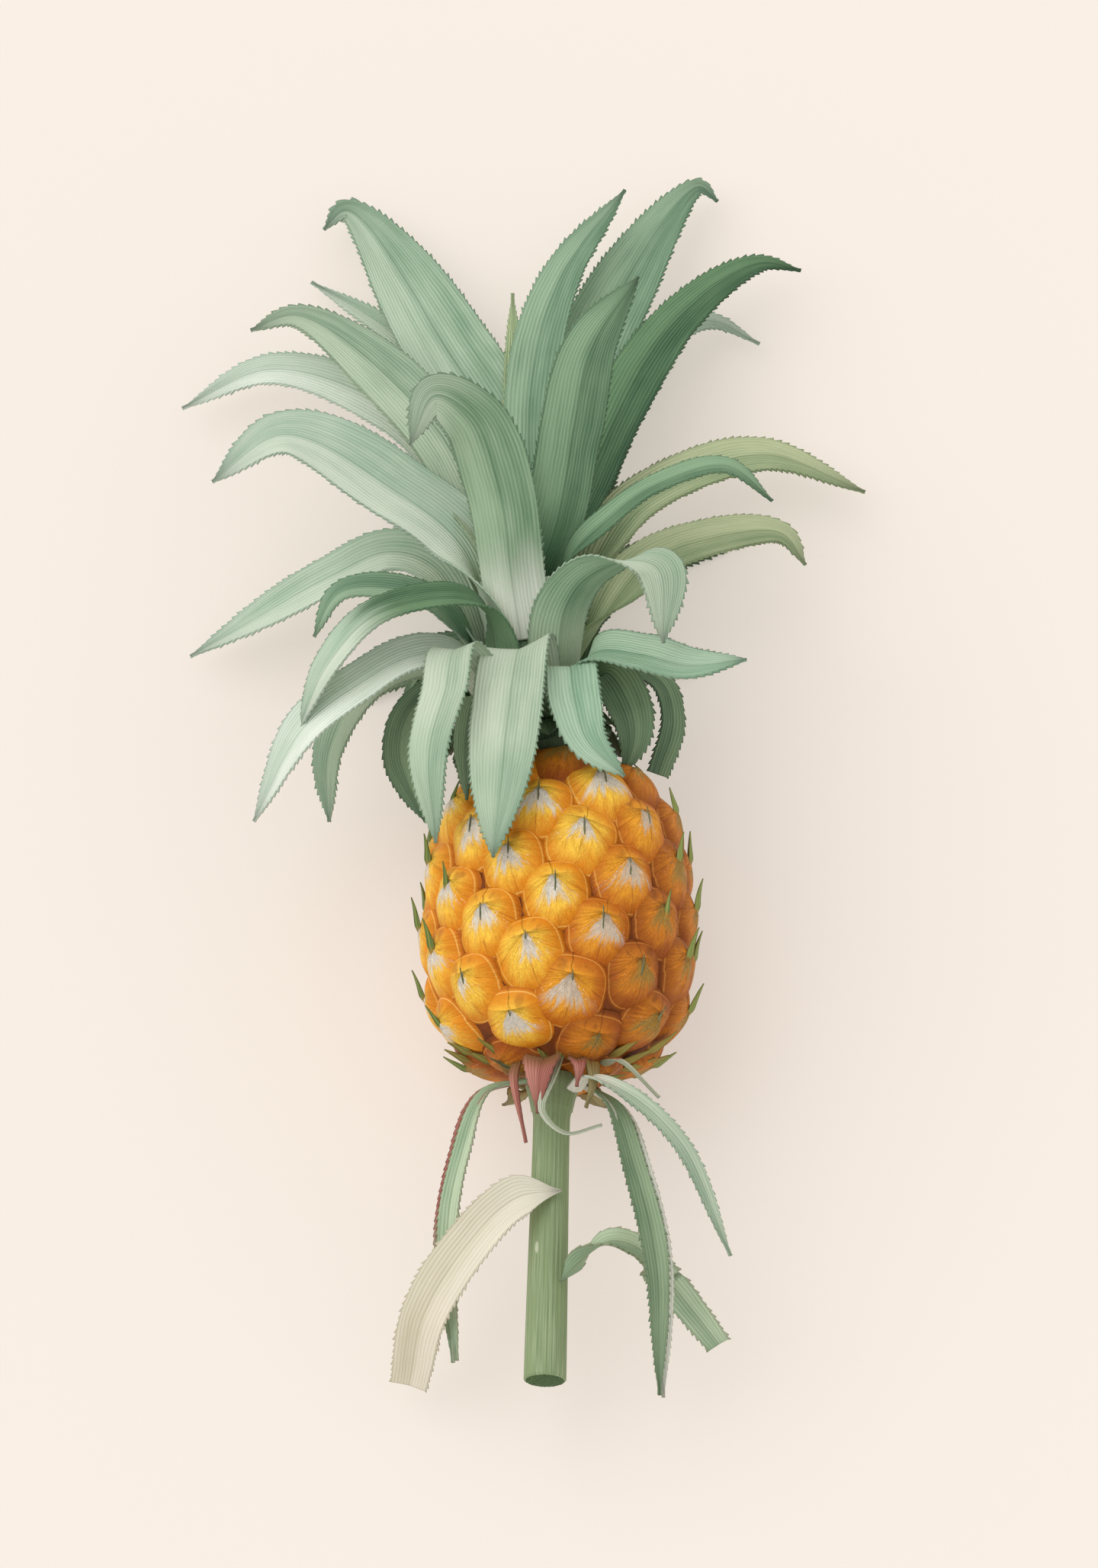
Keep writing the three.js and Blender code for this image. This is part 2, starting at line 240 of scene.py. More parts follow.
def add_group(tree, group, inputs):
    """Places a node group and joins its inputs."""
    made = tree.nodes.new("ShaderNodeGroup")
    made.node_tree = group
    for key, value in inputs.items():
        tree.links.new(value, made.inputs[key])
    return made.outputs


def pattern_masks(tree, pattern, label, attribute):
    """A pattern group that reads the piece's UV map and one of its attributes."""
    uv_map = add_node(tree, "ShaderNodeUVMap", uv_map="UVMap").outputs[0]
    carried = add_node(tree, "ShaderNodeAttribute", attribute_name=attribute).outputs["Vector"]
    return add_group(tree, pattern, {"UV": uv_map, label: carried})


def new_finish(name, roughness, specular=0.3):
    """A material with its shader's plain values set, and its node tree."""
    material = bpy.data.materials.new(name)
    material.use_nodes = True
    shader = material.node_tree.nodes["Principled BSDF"]
    shader.inputs["Roughness"].default_value = roughness
    shader.inputs["Specular IOR Level"].default_value = specular
    return material, material.node_tree, shader


def relief(tree, shader, height, depth):
    """Fine relief that changes only how light falls."""
    bump = add_node(tree, "ShaderNodeBump", {"Height": height, "Distance": depth, "Strength": 1.0})
    tree.links.new(bump.outputs[0], shader.inputs["Normal"])


# %% [markdown]
# ## Leaf pattern
# A pineapple leaf is a tough strap with fibres that run its whole length and draw together
# at the tip. It has a bluish bloom, a foot of another colour, and a thin dark margin with
# hooked teeth. One half of each blade is painted darker as shade, as if it faced away from
# the light, and on some leaves the foot is painted darker as shade near the core. The pattern
# reads two things that every blade carries: its UV map, in centimetres across and along, and
# an attribute that holds the place across (-1 to 1), the share of the length, and whether it
# is the underside.

# %% Leaf pattern group
FIBRE_PITCH = 0.17
STREAK_RANGE, SHADED_HALF = (0.33, 1.05), (-0.35, 0.15)
FOOT_FADE, MARGIN_BAND, RIB_BAND = (0.42, 0.1), (0.96, 1.06), (0.07, 0.015)
leaf_pattern, given, answer = new_group(
    "leaf_pattern",
    [("UV", "NodeSocketVector"), ("Blade", "NodeSocketVector")],
    floats("Streaks", "Foot", "Along", "Margin", "Rib", "Under", "Height"),
)
tree = leaf_pattern
uv = split_xyz(tree, given["UV"])
blade = split_xyz(tree, given["Blade"])
sway = noise(tree, scaled(tree, uv, 0.8, 0.3))
across = sums(tree, "MULTIPLY_ADD", sway, 0.25, uv[0])
lines = sums(tree, "SINE", times(tree, across, 2 * math.pi / FIBRE_PITCH))
lines = sums(tree, "MULTIPLY_ADD", lines, 0.5, 0.5)
fine = noise(tree, scaled(tree, uv, 14.0, 0.35))
broad = noise(tree, scaled(tree, uv, 1.6, 0.16))
cloud = noise(tree, join_xyz(tree, uv[0], uv[1]), 0.5)
# Painted shade: the half on the shaded side is darkened, as if it faced away from the light.
half = step(tree, blade[0], *SHADED_HALF)
streaks_and_shade = times(tree, fine, 0.55)
for part, weight in ((lines, 0.26), (broad, 0.75), (cloud, 0.35), (half, -0.36)):
    streaks_and_shade = sums(tree, "MULTIPLY_ADD", part, weight, streaks_and_shade)
tree.links.new(step(tree, streaks_and_shade, *STREAK_RANGE, smooth=False), answer["Streaks"])
along = sums(tree, "MULTIPLY_ADD", broad, 0.16, blade[1])
tree.links.new(step(tree, along, *FOOT_FADE), answer["Foot"])
tree.links.new(along, answer["Along"])
distance_out = sums(tree, "ABSOLUTE", blade[0])
tree.links.new(step(tree, distance_out, *MARGIN_BAND), answer["Margin"])
tree.links.new(step(tree, distance_out, *RIB_BAND), answer["Rib"])
tree.links.new(blade[2], answer["Under"])
tree.links.new(sums(tree, "MULTIPLY_ADD", fine, 0.5, lines), answer["Height"])
print("leaf pattern has", len(tree.nodes), "nodes")

# %% [markdown]
# ## Leaf finishes
# The same pattern makes every leaf finish. Only its colours change: two greens that the
# streaks and the painted shade of one half move between, the underside, the foot, the margin
# and sometimes the tip. Leaves at the heart of the crown are deep green, the outer ones on the
# left have more bloom, and two on the right are turning olive.

# %% Leaf finishes


TIP_BLEND, RIB_SHARE, MARGIN_SHARE = 0.2, 0.3, 0.4
FIBRE_DEPTH = 0.0002


def leaf_finish(name, upper, under, foot, margin, foot_share=0.8, tip=None, tip_from=0.62):
    """One leaf finish. Upper, under and tip are pairs that the streaks and the painted shade of one
    half move between.
    """
    material, tree, shader = new_finish(name, 0.55, 0.22)
    masks = pattern_masks(tree, leaf_pattern, "Blade", "blade")

    def streaked_and_shaded(pair):
        return blend(tree, masks["Streaks"], *map(rgb, pair))

    colour = blend(tree, masks["Under"], streaked_and_shaded(upper), streaked_and_shaded(under))
    if tip:
        at_tip = step(tree, masks["Along"], tip_from, tip_from + TIP_BLEND)
        colour = blend(tree, at_tip, colour, streaked_and_shaded(tip))
    for mask, share, tint in (
        ("Foot", foot_share, foot), ("Rib", RIB_SHARE, margin), ("Margin", MARGIN_SHARE, margin)
    ):
        colour = blend(tree, times(tree, masks[mask], share), colour, rgb(tint))
    tree.links.new(colour, shader.inputs["Base Color"])
    relief(tree, shader, masks["Height"], FIBRE_DEPTH)
    return material


MINT, PALE, GREEN = ("9ab69d", "d3dfcc"), ("8ba68a", "c1d0b8"), ("5f8266", "9ab597")
DEEP, OLIVE, SHADE = ("4c7053", "8dac89"), ("7b936a", "bdc69d"), ("48644a", "7d9673")
DUSKY, STRAW, SILVER = ("7d9a7f", "bbcdb2"), ("cdc6ab", "e8e0cd"), ("b4bda6", "e4e4d6")
FROST, FRESH, DARK = ("b6cab4", "e6eee0"), ("779f80", "b8d0b6"), ("35573c", "6d9069")
REED, SEDGE, BLOOM = ("7b9877", "bccdae"), ("587556", "93a886"), ("7b9c7e", "bcd0b7")
ROSE, CURL, DUST = ("8a4a40", "bd8274"), ("96a084", "c9cdb8"), ("7c7048", "a89a6c")
RIBBON, LIME = ("86a088", "bccbb2"), ("8da67b", "bccb9e")
ASH, WASHED = ("6b8c6c", "a9bfa0"), ("96af94", "ccd8c2")
# The green, deep, dark, olive and shade finishes have feet darker than their greens: painted shade near
# the core, under the other leaves. The pale feet of the others are the leaves' own colour.
LEAF_COLOURS = {
    "leaf_mint": (MINT, MINT, "c3d0b8", "6d937a"),
    "leaf_pale": (WASHED, PALE, "dde1cf", "64886a", 0.8, ("84a187", "b2c6ab")),
    "leaf_green": (GREEN, PALE, "62866a", "4a7053"),
    "leaf_frost": (FROST, FROST, "ccd8c2", "6d937a"),
    "leaf_fresh": (FRESH, PALE, "8fb08c", "4a7053"),
    "leaf_bloom": (BLOOM, PALE, "7a9a76", "4a7053"),
    "leaf_deep": (DEEP, DEEP, "557a5a", "345639"),
    "leaf_dark": (DARK, DARK, "3f6245", "2c4a31"),
    "leaf_arch": (MINT, ("688c6e", "a5c1a1"), "bccab0", "4a7053", 0.8, PALE),
    "leaf_dark_arch": (DARK, DARK, "8fac8a", "3d5f42", 0.8, MINT, 0.6),
    "leaf_ashen": (ASH, ("5e8160", "9fb797"), "eef0e4", "42664a", 1.0, PALE, 0.76),
    "leaf_dusky": (DUSKY, DUSKY, "b3bf8f", "4a6848"),
    "leaf_olive": (OLIVE, OLIVE, "6b8558", "55683f"),
    "leaf_lime": (LIME, OLIVE, "9ab083", "64805a"),
    "leaf_shade": (SHADE, SHADE, "35523a", "2b432d"),
    "leaf_straw": (STRAW, STRAW, "e2dfcd", "b0aa8c"),
    "leaf_silver": (SILVER, SILVER, "d8ccc0", "a0a68c"),
    "bract_rose": (ROSE, ROSE, "7c6038", "6e3c32"),
    "leaf_blush": (ROSE, ROSE, "7c6038", "6e3c32", 0.5, REED),
    "leaf_reed": (REED, REED, "86a07c", "7c6c4c"),
    "leaf_sedge": (SEDGE, SEDGE, "7c9470", "5d6a4c"),
    "leaf_curl": (CURL, CURL, "8f8a68", "7d8468"),
    "leaf_ribbon": (RIBBON, RIBBON, "ece8dc", "6f8a70", 1.0),
    "bract_dusty": (DUST, DUST, "8a6a30", "5d5434"),
}
FINISHES = {label.split("_", 1)[1]: leaf_finish(label, *row) for label, row in LEAF_COLOURS.items()}
print(len(FINISHES), "leaf finishes")

# %% [markdown]
# ## Blades
# Each leaf follows a smooth curve, its midrib. A grid is added flat, and its points are then
# set out along the midrib: rows run along the leaf and columns across it. The sideways
# direction is carried from row to row without spin, so the leaf doesn't twist by accident,
# and each half rises from the rib as a shallow channel.

# %% Curve of a midrib
CURVE_STEPS = 60
TURNS_BY, ROLL_SPAN = 0.35, (0.45, 0.8)


def midrib_curve(points):
    """A centripetal Catmull-Rom curve through the points, as many close points."""
    p = np.array([2 * points[0] - points[1], *points, 2 * points[-1] - points[-2]])
    out = []
    for a, b, c, d in zip(p, p[1:], p[2:], p[3:]):
        g0, g1, g2 = (max(1e-4, np.linalg.norm(y - x)) ** 0.5 for x, y in ((a, b), (b, c), (c, d)))
        start = ((b - a) / g0 - (c - a) / (g0 + g1) + (c - b) / g1) * g1
        end = ((c - b) / g1 - (d - b) / (g1 + g2) + (d - c) / g2) * g1
        t = np.linspace(0, 1, CURVE_STEPS, endpoint=False)[:, None]
        square, cube = 3 * (c - b) - 2 * start - end, 2 * (b - c) + start + end
        out.append(b + start * t + square * t**2 + cube * t**3)
    return np.vstack([*out, p[-2][None]])


def evenly_along(curve, count):
    """Points at even distances along a curve, the way it runs there, and its length."""
    gaps = np.linalg.norm(np.diff(curve, axis=0), axis=1)
    reached = np.concatenate([[0], np.cumsum(gaps)])
    wanted = np.linspace(0, reached[-1], count)
    spots = np.stack([np.interp(wanted, reached, curve[:, k]) for k in range(3)], axis=1)
    way = np.gradient(spots, axis=0)
    return spots, way / np.linalg.norm(way, axis=1)[:, None], reached[-1]


def around(turn, radius, y):
    """A point round the plant's axis. Turn 0 faces up and 90 faces right."""
    angle = math.radians(turn)
    return np.array([radius * math.sin(angle), y, radius * math.cos(angle)])


def smoothstep(value, low, high):
    t = np.clip((value - low) / (high - low), 0, 1)
    return t * t * (3 - 2 * t)


def carried_sides(way, first_side, facing, end_roll):
    """The sideways direction in each row, turned part of the way to level and rolled at the end."""
    up = np.array([0.0, 0.0, 1.0])
    carried, sides = first_side, []
    for i, along in enumerate(way):
        carried = carried - along * carried.dot(along)
        carried = carried / np.linalg.norm(carried)
        upward = up - along * up.dot(along)
        level = np.cross(upward / np.linalg.norm(upward), along)
        twist = math.atan2(np.cross(carried, level).dot(along), carried.dot(level))
        u = i / (len(way) - 1)
        angle = twist * facing * smoothstep(u, 0, TURNS_BY)
        angle = angle + math.radians(end_roll) * smoothstep(u, *ROLL_SPAN)
        sides.append(carried * math.cos(angle) + np.cross(along, carried) * math.sin(angle))
    return np.array(sides)


# %% Flat grid whose points are set by a rule


def shaped_grid(name, columns, rows, rule):
    """Adds a flat grid and puts each point where rule(column, row) says, in mm."""
    bpy.ops.object.select_all(action="DESELECT")
    bpy.ops.mesh.primitive_grid_add(x_subdivisions=columns, y_subdivisions=rows, size=2)
    piece = bpy.context.object
    piece.name = piece.data.name = name
    flat = np.empty(len(piece.data.vertices) * 3)
    piece.data.vertices.foreach_get("co", flat)
    flat = flat.reshape(-1, 3)
    column = np.rint((flat[:, 0] + 1) / 2 * columns).astype(int)
    row = np.rint((flat[:, 1] + 1) / 2 * rows).astype(int)
    set_points(piece.data, rule(column, row))
    return piece, column, row


def set_points(mesh, points):
    mesh.vertices.foreach_set("co", np.asarray(points, float).ravel())
    mesh.update()


def set_uv(mesh, per_point):
    """Gives the UV map one value for each point."""
    corners = np.empty(len(mesh.loops), int)
    mesh.loops.foreach_get("vertex_index", corners)
    mesh.uv_layers["UVMap"].data.foreach_set("uv", per_point[corners].ravel())


def set_attribute(mesh, name, per_point):
    """Stores three numbers at each point."""
    made = mesh.attributes.get(name) or mesh.attributes.new(name, "FLOAT_VECTOR", "POINT")
    made.data.foreach_set("vector", np.asarray(per_point, float).ravel())


def into_place(points):
    """Millimetres from the fruit's middle to metres in the model's frame."""
    return points * MM + fruit_middle


def apply_modifier(piece, kind, **settings):
    """Adds a modifier, sets it up and applies it."""
    bpy.ops.object.select_all(action="DESELECT")
    piece.select_set(True)
    bpy.context.view_layer.objects.active = piece
    modifier = piece.modifiers.new(kind.lower(), kind)
    for key, value in settings.items():
        setattr(modifier, key, value)
    bpy.ops.object.modifier_apply(modifier=modifier.name)


def smooth(piece):
    piece.data.polygons.foreach_set("use_smooth", np.ones(len(piece.data.polygons), bool))
    piece.data.update()


# %% [markdown]
# ## Margin teeth
# The teeth are small hooks that point to the tip, every three millimetres or so. Four rows of
# the grid make one tooth: the outermost column moves out a little further in each row and
# then drops back. Teeth fade at the foot of a leaf and grow small at its tip.

# %% Blade of one leaf
THICKNESS = 0.9
ROWS_PER_TOOTH, UV_GAP = 4, 7.3
BASE_SHARE, CUT_TAPER, TIP_WIDTH = 0.88, 0.25, 1.2
LEAF_TAPER, BRACT_TAPER = (0.5, 2.1), (0.1, 0.9)
CHANNEL_AT_BASE, CHANNEL_AT_TIP = 0.36, 0.14
HALF_COLUMNS = [0.0, 0.05, 0.16, 0.3, 0.45, 0.6, 0.74, 0.86, 0.95, 1.0, 1.12]
CUT_LEAVES = ("right_3", "stalk_2", "stalk_3")
TORN_LEAVES = ("stalk_2", "stalk_3")
END_ROLLS = {"arch_1": 55, "arch_3": 30}
PRESSED_LEAVES, PRESSED_LIFT = ("upper_2",), 0.3
ROOT_CLEARANCE = 1.05
TOOTH_FADE, TOOTH_DICE, HOOK = (0.06, 0.2), (0.5, 1.15), 0.8
RIPPLE_HEIGHT, RIPPLE_LENGTH = 0.5, 11


def width_share(u, taper, depth):
    """How much of the full width a blade has at a share of its length."""
    starts, power = taper
    below = BASE_SHARE + (1 - BASE_SHARE) * u / starts
    above = np.clip((u - starts) / (1 - starts), 0, 1) ** power
    return np.where(u < starts, below, 1 - depth * above)


def make_blade(name, row, frame_rule, root_radius, number, pitch=3.0, tooth=1.3, taper=LEAF_TAPER):
    """One closed leaf blade with its teeth, its UV map and its blade attribute."""
    node_name, turn, base, width, facing, *points = row
    dice = np.random.default_rng(number)
    root = around(turn, root_radius(base) + ROOT_CLEARANCE, base)
    curve = midrib_curve([root, *np.array(points, float)])
    length = np.linalg.norm(np.diff(curve, axis=0), axis=1).sum()
    rows = max(12, int(length / pitch) * ROWS_PER_TOOTH)
    spots, way, length = evenly_along(curve, rows + 1)
    sides = carried_sides(way, around(turn + 90, 1, 0), facing, END_ROLLS.get(node_name, 0))
    uppers = np.cross(way, sides)
    u = np.linspace(0, 1, rows + 1)
    depth = CUT_TAPER if node_name in CUT_LEAVES else 1
    half = np.maximum(TIP_WIDTH, width * width_share(u, taper, depth)) / 2
    if node_name in TORN_LEAVES:
        half = half * smoothstep(u, -0.02, 0.16)
    lift = (CHANNEL_AT_BASE + (CHANNEL_AT_TIP - CHANNEL_AT_BASE) * np.minimum(1, 2 * u)) * half
    if node_name in PRESSED_LEAVES:
        lift = lift * PRESSED_LIFT
    shares = np.array([*[-s for s in HALF_COLUMNS[:0:-1]], *HALF_COLUMNS])[::-1]
    size = tooth * smoothstep(u, *TOOTH_FADE) * np.minimum(1, half / 4)
    uneven = dice.uniform(*TOOTH_DICE, rows // ROWS_PER_TOOTH + 2)
    size = size * np.repeat(uneven, ROWS_PER_TOOTH)[: rows + 1]
    ripple = RIPPLE_HEIGHT * np.sin(u * length / RIPPLE_LENGTH + dice.uniform(0, 6))

    def rule(column, at):
        share = shares[column]
        margin = np.clip(share, -1, 1)
        is_tooth = np.abs(share) > 1.01
        phase = ((at + np.where(share > 0, 2, 0)) % ROWS_PER_TOOTH) / (ROWS_PER_TOOTH - 1)
        out = np.where(is_tooth, size[at] * phase + 0.12, 0) * np.sign(share)
        across = margin * half[at] + out
        rise = lift[at] * (0.7 * np.abs(margin) + 0.3 * margin**2)
        rise = rise + ripple[at] * margin * np.abs(margin) * np.minimum(1, half[at] / 8)
        hook = np.where(is_tooth, size[at] * phase * HOOK, 0)
        here = spots[at] + sides[at] * across[:, None]
        here = here + uppers[at] * rise[:, None] + way[at] * hook[:, None]
        return into_place(frame_rule(here))

    piece, column, at = shaped_grid(name, len(shares) - 1, rows, rule)
    half_width = width / 2
    along = u[at] * length / 10 + UV_GAP * number
    set_uv(piece.data, np.stack([shares[column] * half_width / 10, along], axis=1))
    # The half on this side is painted darker as shade.
    shaded_side = -1 if facing > 0 else 1
    flat = np.stack([shaded_side * shares[column], u[at], np.zeros(len(at))], axis=1)
    set_attribute(piece.data, "blade", flat)
    apply_modifier(piece, "SOLIDIFY", thickness=THICKNESS * MM, offset=0)
    set_attribute(piece.data, "blade", np.vstack([flat, flat + [0, 0, 1]]))
    smooth(piece)
    return piece


# %% [markdown]
# ## The leaves
# Each row is the leaf's name, the turn of its base round the axis, the height of its base,
# its width, how far it turns its upper side up, and the points its midrib passes through.
# A dictionary then deals out the finishes, leaf by leaf.

# %% Crown leaves
CORE_HEIGHTS, CORE_RADII = [0, 12, 45, 72, 96], [19, 20, 18, 13, 6]
CROWN_LEAVES = [
    ["front_1", -6, 19, 33, 0, [-5, 38, 38], [-12, 5, 55], [-17, -26, 61], [-24, -67, 65]],
    ["front_2", -42, 15, 22, 0, [-33, 37, 46], [-39, 15, 55], [-48, -14, 58], [-48, -52, 46]],
    ["front_3", 30, 13, 22, 0, [16, 27, 42], [17, 5, 54], [21, -13, 56], [36, -29, 52]],
    ["arch_1", 34, 32, 29, 0, [16, 57, 34], [27, 66, 50], [43, 67, 62], [57, 60, 68], [57, 28, 62]],
    ["arch_2", -48, 29, 27, 0.4,
     [-18, 58, 32], [-31, 62, 42], [-68, 52, 54], [-90, 32, 48], [-104, 8, 36]],
    ["arch_3", -12, 50, 30, 0,
     [-6, 75, 28], [-9, 112, 44], [-18, 139, 58], [-35, 148, 68], [-47, 128, 62]],
    ["right_1", 52, 25, 28, 0.5, [28, 35, 36], [47, 29, 46], [67, 21, 50], [93, 21, 53]],
    ["left_1", -62, 23, 24, 0.6,
     [-29, 40, 28], [-53, 38, 38], [-77, 25, 42], [-102, 8, 38], [-126, -27, 20]],
    ["front_4", -24, 6, 16, 0, [-24, 21, 34], [-31, -1, 40], [-33, -31, 41]],
    ["upper_1", 26, 80, 30, 0, [16, 104, 20], [26, 144, 28], [37, 180, 34], [59, 209, 38]],
    ["left_7", -68, 46, 36, 0.8, [-25, 94, 14], [-54, 121, 24], [-101, 147, 34], [-134, 128, 32]],
    ["right_4", 56, 60, 17, 0.6,
     [20, 85, 18], [39, 101, 26], [60, 112, 34], [91, 116, 41], [110, 99, 40]],
    ["left_2", -80, 14, 22, 0.6,
     [-34, 39, 14], [-54, 40, 19], [-75, 31, 20], [-91, 6, 12], [-93, -23, 2]],
    ["right_2", 78, 11, 21, 0.4, [32, 30, 22], [41, 11, 28], [42, -3, 28], [37, -17, 24]],
    ["left_3", -86, 8, 22, 0.4, [-35, 34, 6], [-52, 27, 6], [-60, 7, 4], [-51, -28, 8]],
    ["left_5", -88, 38, 20, 0.5, [-40, 72, 10], [-61, 79, 16], [-82, 77, 18], [-94, 60, 12]],
    ["right_5", 84, 42, 26, 0.7,
     [36, 66, 4], [54, 86, 4], [79, 97, 0], [114, 101, -7], [124, 86, -8]],
    ["upper_2", -76, 62, 32, 0.8, [-19, 118, 6], [-37, 162, 2], [-90, 219, -10], [-112, 214, -10]],
    ["right_3", 98, 14, 13, 0.5, [40, 39, 0], [56, 32, 2], [60, 14, 0], [52, -8, -6]],
    ["left_4", -104, 13, 12, 0.5, [-32, 42, -8], [-48, 48, -12], [-57, 35, -14]],
    ["left_6", -104, 42, 22, 0.8,
     [-38, 99, -16], [-58, 110, -22], [-85, 102, -28], [-148, 76, -46]],
    ["right_6", 104, 52, 22, 0.8, [36, 104, -14], [57, 128, -20], [110, 148, -33], [154, 131, -42]],
    ["upper_3", -106, 54, 23, 0.9,
     [-33, 152, -18], [-56, 181, -24], [-104, 204, -34], [-144, 193, -46]],
    ["upper_4", 112, 70, 24, 0.8, [28, 124, -12], [73, 207, -24], [114, 238, -32], [133, 233, -30]],
    ["upper_5", -140, 78, 40, 0.8,
     [-3, 149, -20], [-25, 205, -30], [-65, 280, -42], [-76, 271, -40]],
    ["upper_6", 150, 84, 33, 0.8, [25, 163, -24], [48, 222, -34], [91, 281, -44], [99, 273, -42]],
    ["upper_7", 120, 92, 22, 0.8, [9, 174, -14], [26, 232, -20], [58, 275, -26]],
    ["upper_8", -150, 68, 16, 0.9, [-19, 185, -38], [-47, 221, -46], [-83, 251, -52]],
    ["upper_9", 140, 60, 17, 0.9, [32, 144, -34], [59, 203, -44], [91, 220, -51], [113, 208, -52]],
    ["upper_10", -170, 94, 9, 0.6, [2, 177, -20], [5, 231, -30]],
    ["back_1", 180, 34, 22, 1, [1, 88, -40], [1, 130, -56], [1, 167, -60]],
    ["back_2", 152, 26, 22, 1, [26, 84, -42], [56, 110, -57], [102, 119, -60]],
    ["back_3", -152, 26, 22, 1, [-20, 99, -42], [-48, 146, -57], [-88, 180, -60]],
    ["back_4", 124, 15, 20, 1, [27, 53, -36], [53, 64, -54], [79, 58, -60]],
    ["back_5", -124, 17, 20, 1, [-24, 63, -36], [-49, 69, -54], [-85, 53, -60]],
    ["back_6", 166, 44, 20, 1, [25, 123, -42], [49, 178, -56], [79, 220, -60]],
    ["back_7", -166, 46, 20, 1, [-7, 139, -42], [-21, 208, -56], [-47, 257, -60]],
    ["back_8", 172, 12, 20, 1, [6, 55, -38], [15, 104, -56], [22, 144, -60]],
]
STALK_LEAVES = [
    ["stalk_1", -50, -78, 9, 0.6, [-31, -84, 10], [-42, -111, 6], [-48, -144, 0], [-44, -199, -14]],
    ["stalk_2", 8, -129, 20, 0.9,
     [-19, -134, 13], [-42, -158, 12], [-58, -180, -6], [-65, -202, -38]],
    ["stalk_3", 4, -171, 14, 0.8,
     [8, -164, 14], [22, -154, 14], [34, -155, 9], [48, -167, 0], [70, -190, -18]],
    ["stalk_4", 62, -80, 11, 0.6, [24, -94, 18], [33, -124, 24], [42, -163, 24], [44, -221, 4]],
    ["stalk_5", 30, -84, 8, 0.7, [14, -82, 24], [33, -92, 26], [54, -112, 20], [75, -157, 4]],
]
BRACTS = [
    ["bract_1", -14, -73, 17, 0, [-8, -80, 28], [-9, -99, 26]],
    ["bract_2", 0, -73, 5, 0, [-3, -83, 28], [-7, -98, 27], [3, -108, 26], [19, -104, 25]],
    ["bract_3", 18, -73, 8, 0, [9, -78, 28], [8, -87, 27]],
    ["bract_4", 52, -73, 5, 0.3, [27, -74, 23], [44, -90, 21]],
    ["bract_5", -44, -73, 5, 0, [-19, -81, 21], [-14, -110, 19]],
    ["bract_6", 34, -73, 7, 0, [15, -84, 23], [12, -95, 22]],
    ["bract_7", 150, -73, 11, 0, [17, -75, -29], [21, -74.5, -36]],
    ["bract_8", -140, -73, 11, 0, [-19, -75, -26], [-24, -74.5, -33]],
]
DEALT = {
    "pale": "front_1 front_2 left_2",
    "mint": "left_6 left_7 upper_8 upper_9",
    "frost": "left_1 upper_3",
    "green": "upper_6 upper_7 left_5",
    "fresh": "right_1 front_3",
    "deep": "upper_1 right_4",
    "dark": "upper_4",
    "arch": "arch_1",
    "dark_arch": "arch_2",
    "ashen": "arch_3",
    "dusky": "upper_2",
    "olive": "right_5 right_6",
    "lime": "upper_10",
    "shade": "right_2 right_3 left_3 left_4 front_4 "
    "back_1 back_2 back_3 back_4 back_5 back_6 back_7 back_8",
    "straw": "stalk_2",
    "reed": "stalk_1 stalk_3",
    "sedge": "stalk_4",
    "bloom": "upper_5",
    "ribbon": "stalk_5",
    "curl": "bract_2 bract_4",
    "rose": "bract_1 bract_3 bract_5",
    "dusty": "bract_6 bract_7 bract_8",
}
FINISH_OF = {name: finish for finish, names in DEALT.items() for name in names.split()}


def add_leaves(rows, frame_rule, root_radius, first_number, **shape):
    """Makes each row's blade, gives it its finish and lets it stand for its solid."""
    for number, row in enumerate(rows, first_number):
        name = row[0]
        piece = make_blade("blade_" + name, row, frame_rule, root_radius, number, **shape)
        piece.data.materials.append(FINISHES[FINISH_OF[name]])
        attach(piece, "root")
        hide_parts(name)
    print(len(rows), "blades from", rows[0][0], "to", rows[-1][0])


def core_radius(height):
    return np.interp(height, CORE_HEIGHTS, CORE_RADII)


def stalk_radius(y):
    """The stalk is wider in its neck under the fruit."""
    return STALK_NECK_RADIUS if y > STALK_NECK_FOOT else STALK_RADIUS


STALK_NECK_RADIUS, STALK_RADIUS, STALK_NECK_FOOT, BRACT_ROOT_RADIUS = 12.5, 9.2, -94, 24
add_leaves(CROWN_LEAVES, crown_frame, core_radius, 1)
add_leaves(STALK_LEAVES, fruit_frame, stalk_radius, 60, pitch=3.2, tooth=1.3)
add_leaves(
    BRACTS, fruit_frame, lambda h: BRACT_ROOT_RADIUS, 70, pitch=3.0, tooth=0.5, taper=BRACT_TAPER
)

# %% [markdown]
# ## Linings
# Two stalk leaves show a strip of another colour along one margin, rosy on the left and
# silvery on the right. Each strip is a blade through the same points, shifted to one side
# and set a little behind, so it follows every bend of its leaf.

# %% Linings behind two stalk leaves
LINING_DEPTH = 3.0
LININGS = {"stalk_1": ("blush", 9, -1.7), "stalk_4": ("silver", 12, 1.6)}
for number, row in enumerate(STALK_LEAVES, 80):
    if row[0] in LININGS:
        finish, width, shift = LININGS[row[0]]
        behind = [[x + shift, y, z - LINING_DEPTH] for x, y, z in row[5:]]
        lining = [row[0], row[1], row[2], width, row[4], *behind]
        piece = make_blade("lining_" + row[0], lining, fruit_frame, lambda y: 11, number, 3.2, 0.8)
        piece.data.materials.append(FINISHES[finish])
        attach(piece, "root")

# %% [markdown]
# ## The fruit's body
# The fruit is a barrel, squarer than an egg and a little narrower at the shoulder. The eyes
# lie on it as overlapping scales, so the barrel itself shows only as the floor of the creases
# between them, painted dark as shade.

# %% Barrel
FRUIT_RADIUS, FRUIT_HALF_LENGTH, SQUARENESS, SHOULDER_TAPER = 56.5, 73, 3.7, 0.1


def barrel_square(y):
    """The square of the barrel's radius at a distance along it. It is below 0 past the ends."""
    t = y / FRUIT_HALF_LENGTH
    taper = 1 - SHOULDER_TAPER * np.maximum(0, t)
    return FRUIT_RADIUS**2 * (1 - np.abs(t) ** SQUARENESS) * taper**2


